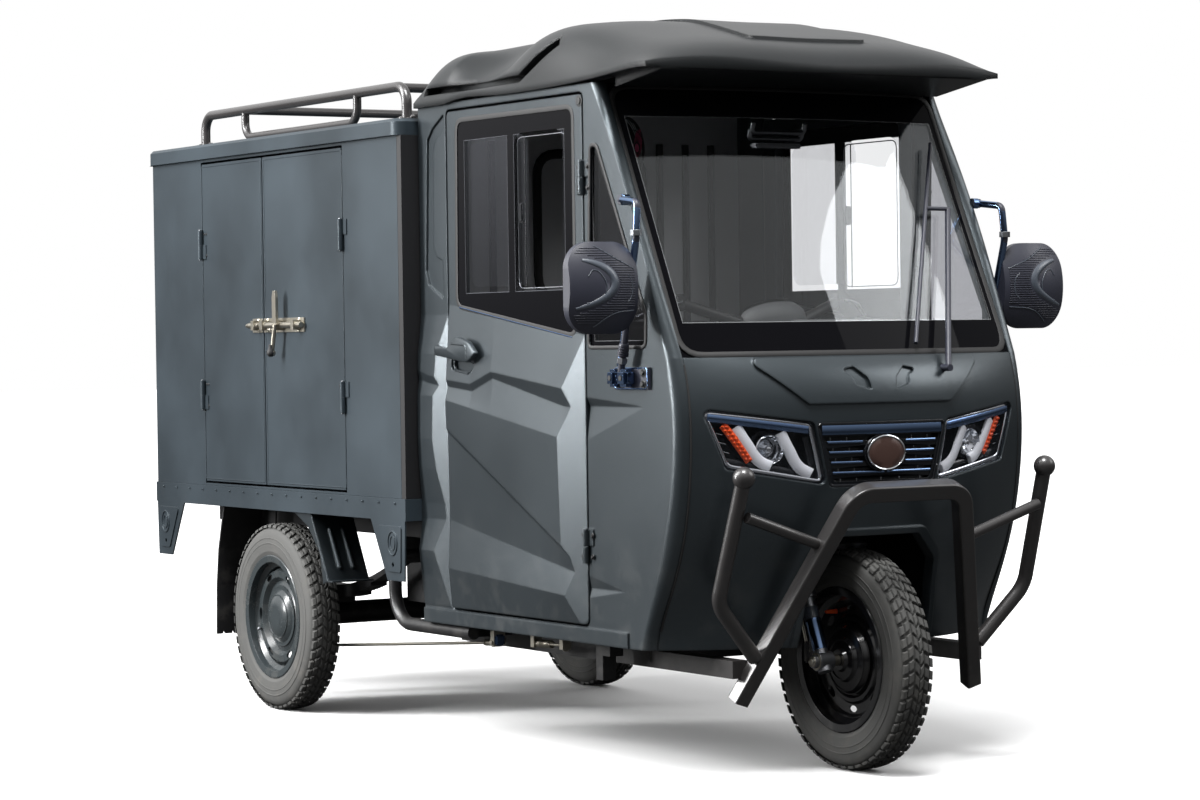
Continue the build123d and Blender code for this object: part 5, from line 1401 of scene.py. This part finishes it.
latchLook = {"high": 1.044, "in": 0.003, "spread": 0.0155, "rivets": (0.024, 0.214), "scale": (0.038, 0.012, 4),
             "knob": 0.099, "rivet": [(0, 0.0045), (0.0022, 0.0038), (0.0032, 0.002), (0.0034, 0)],
             "mark": [(0.0078, 0), (0.0094, 0.0052), (0.0112, 0)],
             "collar": [(0, 0), (0, 0.0078), (0.003, 0.0082), (0.006, 0.0078), (0.006, 0)],
             "tip": [(0, 0.0080), (0.012, 0.0066), (0.020, 0.0040), (0.021, 0)],
             "ball": [(-0.0112, 0), (-0.0100, 0.0052), (-0.006, 0.0094), (0.0, 0.0112), (0.006, 0.0094),
                      (0.012, 0.0068), (0.022, 0.0064), (0.022, 0)]}


def makeLatch():
    look = latchLook
    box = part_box("cargo_latch")
    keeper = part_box("latch_keeper")
    z = look["high"]
    plateY = box[1][1] - look["in"]
    outward = (0, -1, 0)
    heights = (z - look["spread"], z + look["spread"])
    mesh = bmesh.new()
    for dx in look["rivets"]:
        for height in heights:
            addLathe(mesh, look["rivet"], (box[0][0] + dx, plateY, height), outward, 14)
    first, step, count = look["scale"]
    for k in range(count):
        addLathe(mesh, look["mark"], (box[0][0] + first + k * step, plateY + 0.0005, z - 0.011), outward, 4)
    addLathe(mesh, look["collar"], (box[1][0] - 0.004, plateY - 0.0095, z), (1, 0, 0), 20)
    keep("latchRivets", mesh, "zinc", "cargo_front_leaf")
    mesh = bmesh.new()
    for height in heights:
        addLathe(mesh, look["rivet"], (keeper[1][0] - 0.024, plateY, height), outward, 14)
    addLathe(mesh, look["tip"], (keeper[0][0] + 0.0015, plateY - 0.0095, z), (-1, 0, 0), 18)
    keep("keeperRivets", mesh, "zinc", "cargo_rear_leaf")
    mesh = bmesh.new()
    low = Vector((box[0][0] + look["knob"], box[0][1] + 0.006, box[0][2] + 0.010))
    addLathe(mesh, look["ball"], low, (0.1, 0, 1), 20)
    keep("latchKnob", mesh, "rubber", "cargo_front_leaf")


hingeLook = {"heights": (0.853, 1.274), "rows": (-0.030, 0.030), "columns": (0.022, 0.034), "face": -0.5353,
             "screw": [(0, 0.0036), (0.0014, 0.0030), (0.0018, 0)], "pins": (-0.25625, -1.12025),
             "pin_y": -0.542, "knuckle": 0.0405,
             "pin": [(0, 0), (0, 0.0042), (0.002, 0.0042), (0.0032, 0.0024), (0.0034, 0)]}


def makeHinges():
    # Pins through the knuckles and the screws of their leaves
    look = hingeLook
    for title, s in (("Front", 1), ("Rear", -1)):
        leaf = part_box("cargo_leaf_" + title.lower())
        mesh = bmesh.new()
        x = leaf[1][0] if s > 0 else leaf[0][0]
        for z in look["heights"]:
            for dz in look["rows"]:
                for dx in look["columns"]:
                    addLathe(mesh, look["screw"], (x - s * dx, look["face"], z + dz), (0, -1, 0), 10)
        keep("hingeScrews" + title, mesh, "frame_black", "cargo_" + title.lower() + "_leaf")
    mesh = bmesh.new()
    for x in look["pins"]:
        for z in look["heights"]:
            for way in (1, -1):
                addLathe(mesh, look["pin"], (x, look["pin_y"], z + way * look["knuckle"]), (0, 0, way), 12)
    keep("hingePins", mesh, "steel", "root")


trimLook = {"rivets": 17, "rivet": [(0, 0.0034), (0.0012, 0.0028), (0.0018, 0)], "rivet_end": 0.03,
            "rivet_drop": 0.012, "lip_in": 0.013, "lip": 0.014, "fold_face": -0.5352, "fold_in": 0.007,
            "fold": 0.0030, "foot_in": 0.026, "foot": (0.040, 0.016), "foot_bolts": (-0.032, 0.032),
            "ring_place": 0.062, "ring_high": 0.487,
            "rings": ((0.024, 0.030, 28, 0.0026), (0.013, 0.018, 20, 0.0020))}


def makeBoxTrim():
    look = trimLook
    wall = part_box("box_right_wall")
    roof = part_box("box_roof")
    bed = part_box("bed_frame")
    mesh = bmesh.new()
    for s in (-1, 1):
        # rolled edge under the roof's lip
        y = s * roof[1][1] - s * look["lip_in"]
        z = roof[0][2] + 0.0004
        edge = [Vector((roof[0][0] + 0.004, y, z)), Vector((roof[1][0] - 0.004, y, z))]
        addRibbon(mesh, edge, (0, 0, -1), look["lip"], 0.0015)
    for k in range(look["rivets"]):
        x = wall[0][0] + look["rivet_end"] + k * (wall[1][0] - wall[0][0] - 0.06) / 16
        for side, way in enumerate((-1, 1)):
            addLathe(mesh, look["rivet"], (x, bed[side][1], bed[1][2] - look["rivet_drop"]), (0, way, 0), 8)
    keep("bedRivets", mesh, "box_paint", "root")
    # raised fold round each leaf of the side door
    for title in ("Front", "Rear"):
        (x0, _, z0), (x1, _, z1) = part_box("cargo_leaf_" + title.lower())
        face, inset = look["fold_face"], look["fold_in"]
        loop = [Vector((x0 + inset, face, z0 + inset)), Vector((x1 - inset, face, z0 + inset)),
                Vector((x1 - inset, face, z1 - inset)), Vector((x0 + inset, face, z1 - inset))]
        mesh = bmesh.new()
        addRibbon(mesh, cornered(loop, 0.004), (0, -1, 0), look["fold"], 0.0008, True)
        keep("leafFold" + title, mesh, "box_paint", "cargo_" + title.lower() + "_leaf")
    # rack feet: tab and two bolts each
    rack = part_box("roof_rack")
    long, wide = look["foot"]
    z = roof[1][2]
    mesh = bmesh.new()
    for s in (-1, 1):
        for x in (rack[0][0] + look["foot_in"], rack[1][0] - look["foot_in"]):
            y = s * (rack[1][1] - look["foot_in"])
            addBlock(mesh, (x - long, y - wide, z + 0.0002), (x + long, y + wide, z + 0.0045), 0.002)
            for dx in look["foot_bolts"]:
                addBolt(mesh, (x + dx, y, z + 0.0045), (0, 0, 1), 0.006, 0.005)
    keep("rackFeet", mesh, "gloss_black_tube", "root")
    # raised ring and hole rim pressed into each corner gusset
    mesh = bmesh.new()
    for s in (-1, 1):
        y = s * (bed[1][1] + 0.0003)
        for x0, way in ((bed[0][0] + 0.006, 1), (bed[1][0] - 0.004, -1)):
            for a, b, count, wire in look["rings"]:
                ring = [Vector((x0 + way * (look["ring_place"] + a * c), y, look["ring_high"] + b * w))
                        for c, w in circle(count)]
                addTube(mesh, ring, wire, 6, True)
    keep("gussetRings", mesh, "box_paint", "root")


tailLook = {"inner": 0.380, "outer": 0.520, "red_share": 0.62, "ribs": 9, "rib_half": 0.0022,
            "bolt_place": 0.060, "bolt": (0.66, 1.46), "bolt_radius": 0.008, "bolt_out": 0.011,
            "guides": (0.70, 0.92, 1.20, 1.42), "guide": (0.022, 0.014, 0.0205), "handle_place": 0.14,
            "handle": (1.06, 1.20), "handle_out": 0.017, "handle_radius": 0.0055}


def makeTail():
    # Lamp lenses in two colours with ribs, latches and handles of the tail doors
    look = tailLook
    (x, _, z0), (_, _, z1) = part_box("tail_lamps")
    mesh, clear = bmesh.new(), bmesh.new()
    for s in (-1, 1):
        y0, y1 = s * look["inner"], s * look["outer"]
        split = y0 + (y1 - y0) * look["red_share"]
        addBlock(clear, (x - 0.0008, min(split, y1) + 0.002, z0 + 0.004),
                 (x + 0.002, max(split, y1) - 0.003, z1 - 0.004), 0.002)
        for k in range(look["ribs"]):
            y = min(y0, split) + 0.006 + k * (abs(split - y0) - 0.012) / 8
            low, high = y - look["rib_half"], y + look["rib_half"]
            addBlock(mesh, (x - 0.0006, low, z0 + 0.005), (x + 0.001, high, z1 - 0.005), 0.001)
    keep("tailRibs", mesh, "red_lens", "root")
    keep("tailIndicators", clear, "amber", "root")
    for title, s in (("Right", -1), ("Left", 1)):
        inner, y = s * look["bolt_place"], s * look["handle_place"]
        leaf = surfaceTree("tail_door_" + title.lower())
        x = leaf.ray_cast(Vector((-4.0, y, 1.0)), Vector((1, 0, 0)))[0].x
        low, high = look["bolt"]
        wide, tall, out = look["guide"]
        mesh = bmesh.new()
        addTube(mesh, [Vector((x - look["bolt_out"], inner, z)) for z in (low, high)], look["bolt_radius"], 14)
        for z in look["guides"]:
            addBlock(mesh, (x - out, inner - wide, z - tall), (x + 0.0002, inner + wide, z + tall), 0.003)
        keep("tailBolt" + title, mesh, "zinc", "tail_leaf_" + title.lower())
        low, high = look["handle"]
        far = x - look["handle_out"]
        mesh = bmesh.new()
        path = [Vector((x + 0.001, y, low)), Vector((far, y, low)), Vector((far, y, high)),
                Vector((x + 0.001, y, high))]
        addTube(mesh, cornered(path, 0.014, False), look["handle_radius"], 12)
        keep("tailHandle" + title, mesh, "frame_black", "tail_leaf_" + title.lower())


makeLatch()
makeHinges()
makeBoxTrim()
makeTail()
print("box fittings done")


# Seat: cushion and back filled with foam

seatLook = {"grow": 0.010, "voxel": 0.006, "pressure": 4.0, "steps": 20, "seam": 0.0022}


def limited(mesh, before, far):
    # Holds each point within far of where it started
    for v, old in zip(mesh.vertices, before):
        shift = v.co - old
        if shift.length > far:
            v.co = old + shift.normalized() * far


def puffed(name, low, high, pinned):
    # Rounded block swelled by a cloth simulation under pressure, with its hidden side held flat
    look = seatLook
    mesh = bmesh.new()
    g = look["grow"]
    addBlock(mesh, [a + g for a in low], [b - g for b in high], 0.018)
    data = bpy.data.meshes.new(name)
    bmesh.ops.recalc_face_normals(mesh, faces=mesh.faces)
    mesh.to_mesh(data)
    mesh.free()
    piece = bpy.data.objects.new(name, data)
    scene.collection.objects.link(piece)
    remesh = piece.modifiers.new("remesh", "REMESH")
    remesh.mode = "VOXEL"
    remesh.voxel_size = look["voxel"]
    bpy.context.view_layer.update()
    fine = bpy.data.meshes.new_from_object(piece.evaluated_get(bpy.context.evaluated_depsgraph_get()))
    piece.modifiers.clear()
    piece.data = fine
    bpy.data.meshes.remove(data)
    before = [v.co.copy() for v in fine.vertices]
    held = piece.vertex_groups.new(name="held")
    held.add([k for k, v in enumerate(before) if pinned(v)], 1.0, "REPLACE")
    cloth = piece.modifiers.new("cloth", "CLOTH")
    cloth.settings.use_pressure = True
    cloth.settings.uniform_pressure_force = look["pressure"]
    cloth.settings.effector_weights.gravity = 0.0
    cloth.settings.vertex_group_mass = "held"
    scene.frame_start, scene.frame_end = 1, look["steps"]
    for frameNumber in range(1, look["steps"] + 1):
        scene.frame_set(frameNumber)
    swelled = bpy.data.meshes.new_from_object(piece.evaluated_get(bpy.context.evaluated_depsgraph_get()))
    piece.modifiers.clear()
    piece.data = swelled
    limited(swelled, before, look["grow"] + 0.004)
    for v in swelled.vertices:
        v.co = Vector([min(max(c, a + 0.0005), b - 0.0005) for c, a, b in zip(v.co, low, high)])
    scene.frame_set(1)
    return piece


def makeSeat():
    (x0, y0, z0), (x1, y1, z1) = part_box("seat_cushion")
    parts = (("seatPad", (x0 + 0.066, y0, z0 + 0.0003), (x1, y1, z0 + 0.080), lambda v: v.z < z0 + 0.014),
             ("seatBack", (x0, y0, z0 + 0.002), (x0 + 0.066, y1, z1), lambda v: v.x < x0 + 0.014))
    mesh = bmesh.new()
    for name, low, high, pinned in parts:
        piece = puffed(name, low, high, pinned)
        mesh.from_mesh(piece.data)
        bpy.data.objects.remove(piece)
    seat = keep("seatCushion", mesh, "seat_cover", "root", smooth=180)
    smooth = seat.modifiers.new("smooth", "SUBSURF")
    smooth.levels = smooth.render_levels = 1
    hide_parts("seat_cushion")
    tree = BVHTree.FromPolygons([v.co for v in seat.data.vertices], [p.vertices for p in seat.data.polygons])
    seams = bmesh.new()
    for y in (-0.19, -0.065, 0.065, 0.19):
        run = []
        for k in range(30):
            x = x0 + 0.082 + (x1 - x0 - 0.098) * k / 29
            hit = tree.ray_cast(Vector((x, y, z1 + 0.2)), Vector((0, 0, -1)))
            if hit[0] and hit[0].z < z0 + 0.09:
                run.append(hit[0] + Vector((0, 0, 0.0004)))
        if len(run) > 3:
            addRibbon(seams, run, (0, 0, 1), seatLook["seam"] * 2, 0.0008)
        run = []
        for k in range(30):
            z = z0 + 0.11 + (z1 - z0 - 0.13) * k / 29
            hit = tree.ray_cast(Vector((x1 + 0.3, y, z)), Vector((-1, 0, 0)))
            if hit[0] and hit[0].x < x0 + 0.075:
                run.append(hit[0] + Vector((0.0004, 0, 0)))
        if len(run) > 3:
            addRibbon(seams, run, (1, 0, 0), seatLook["seam"] * 2, 0.0008)
    keep("seatSeams", seams, "rubber", "root")


makeSeat()
print("seat done")
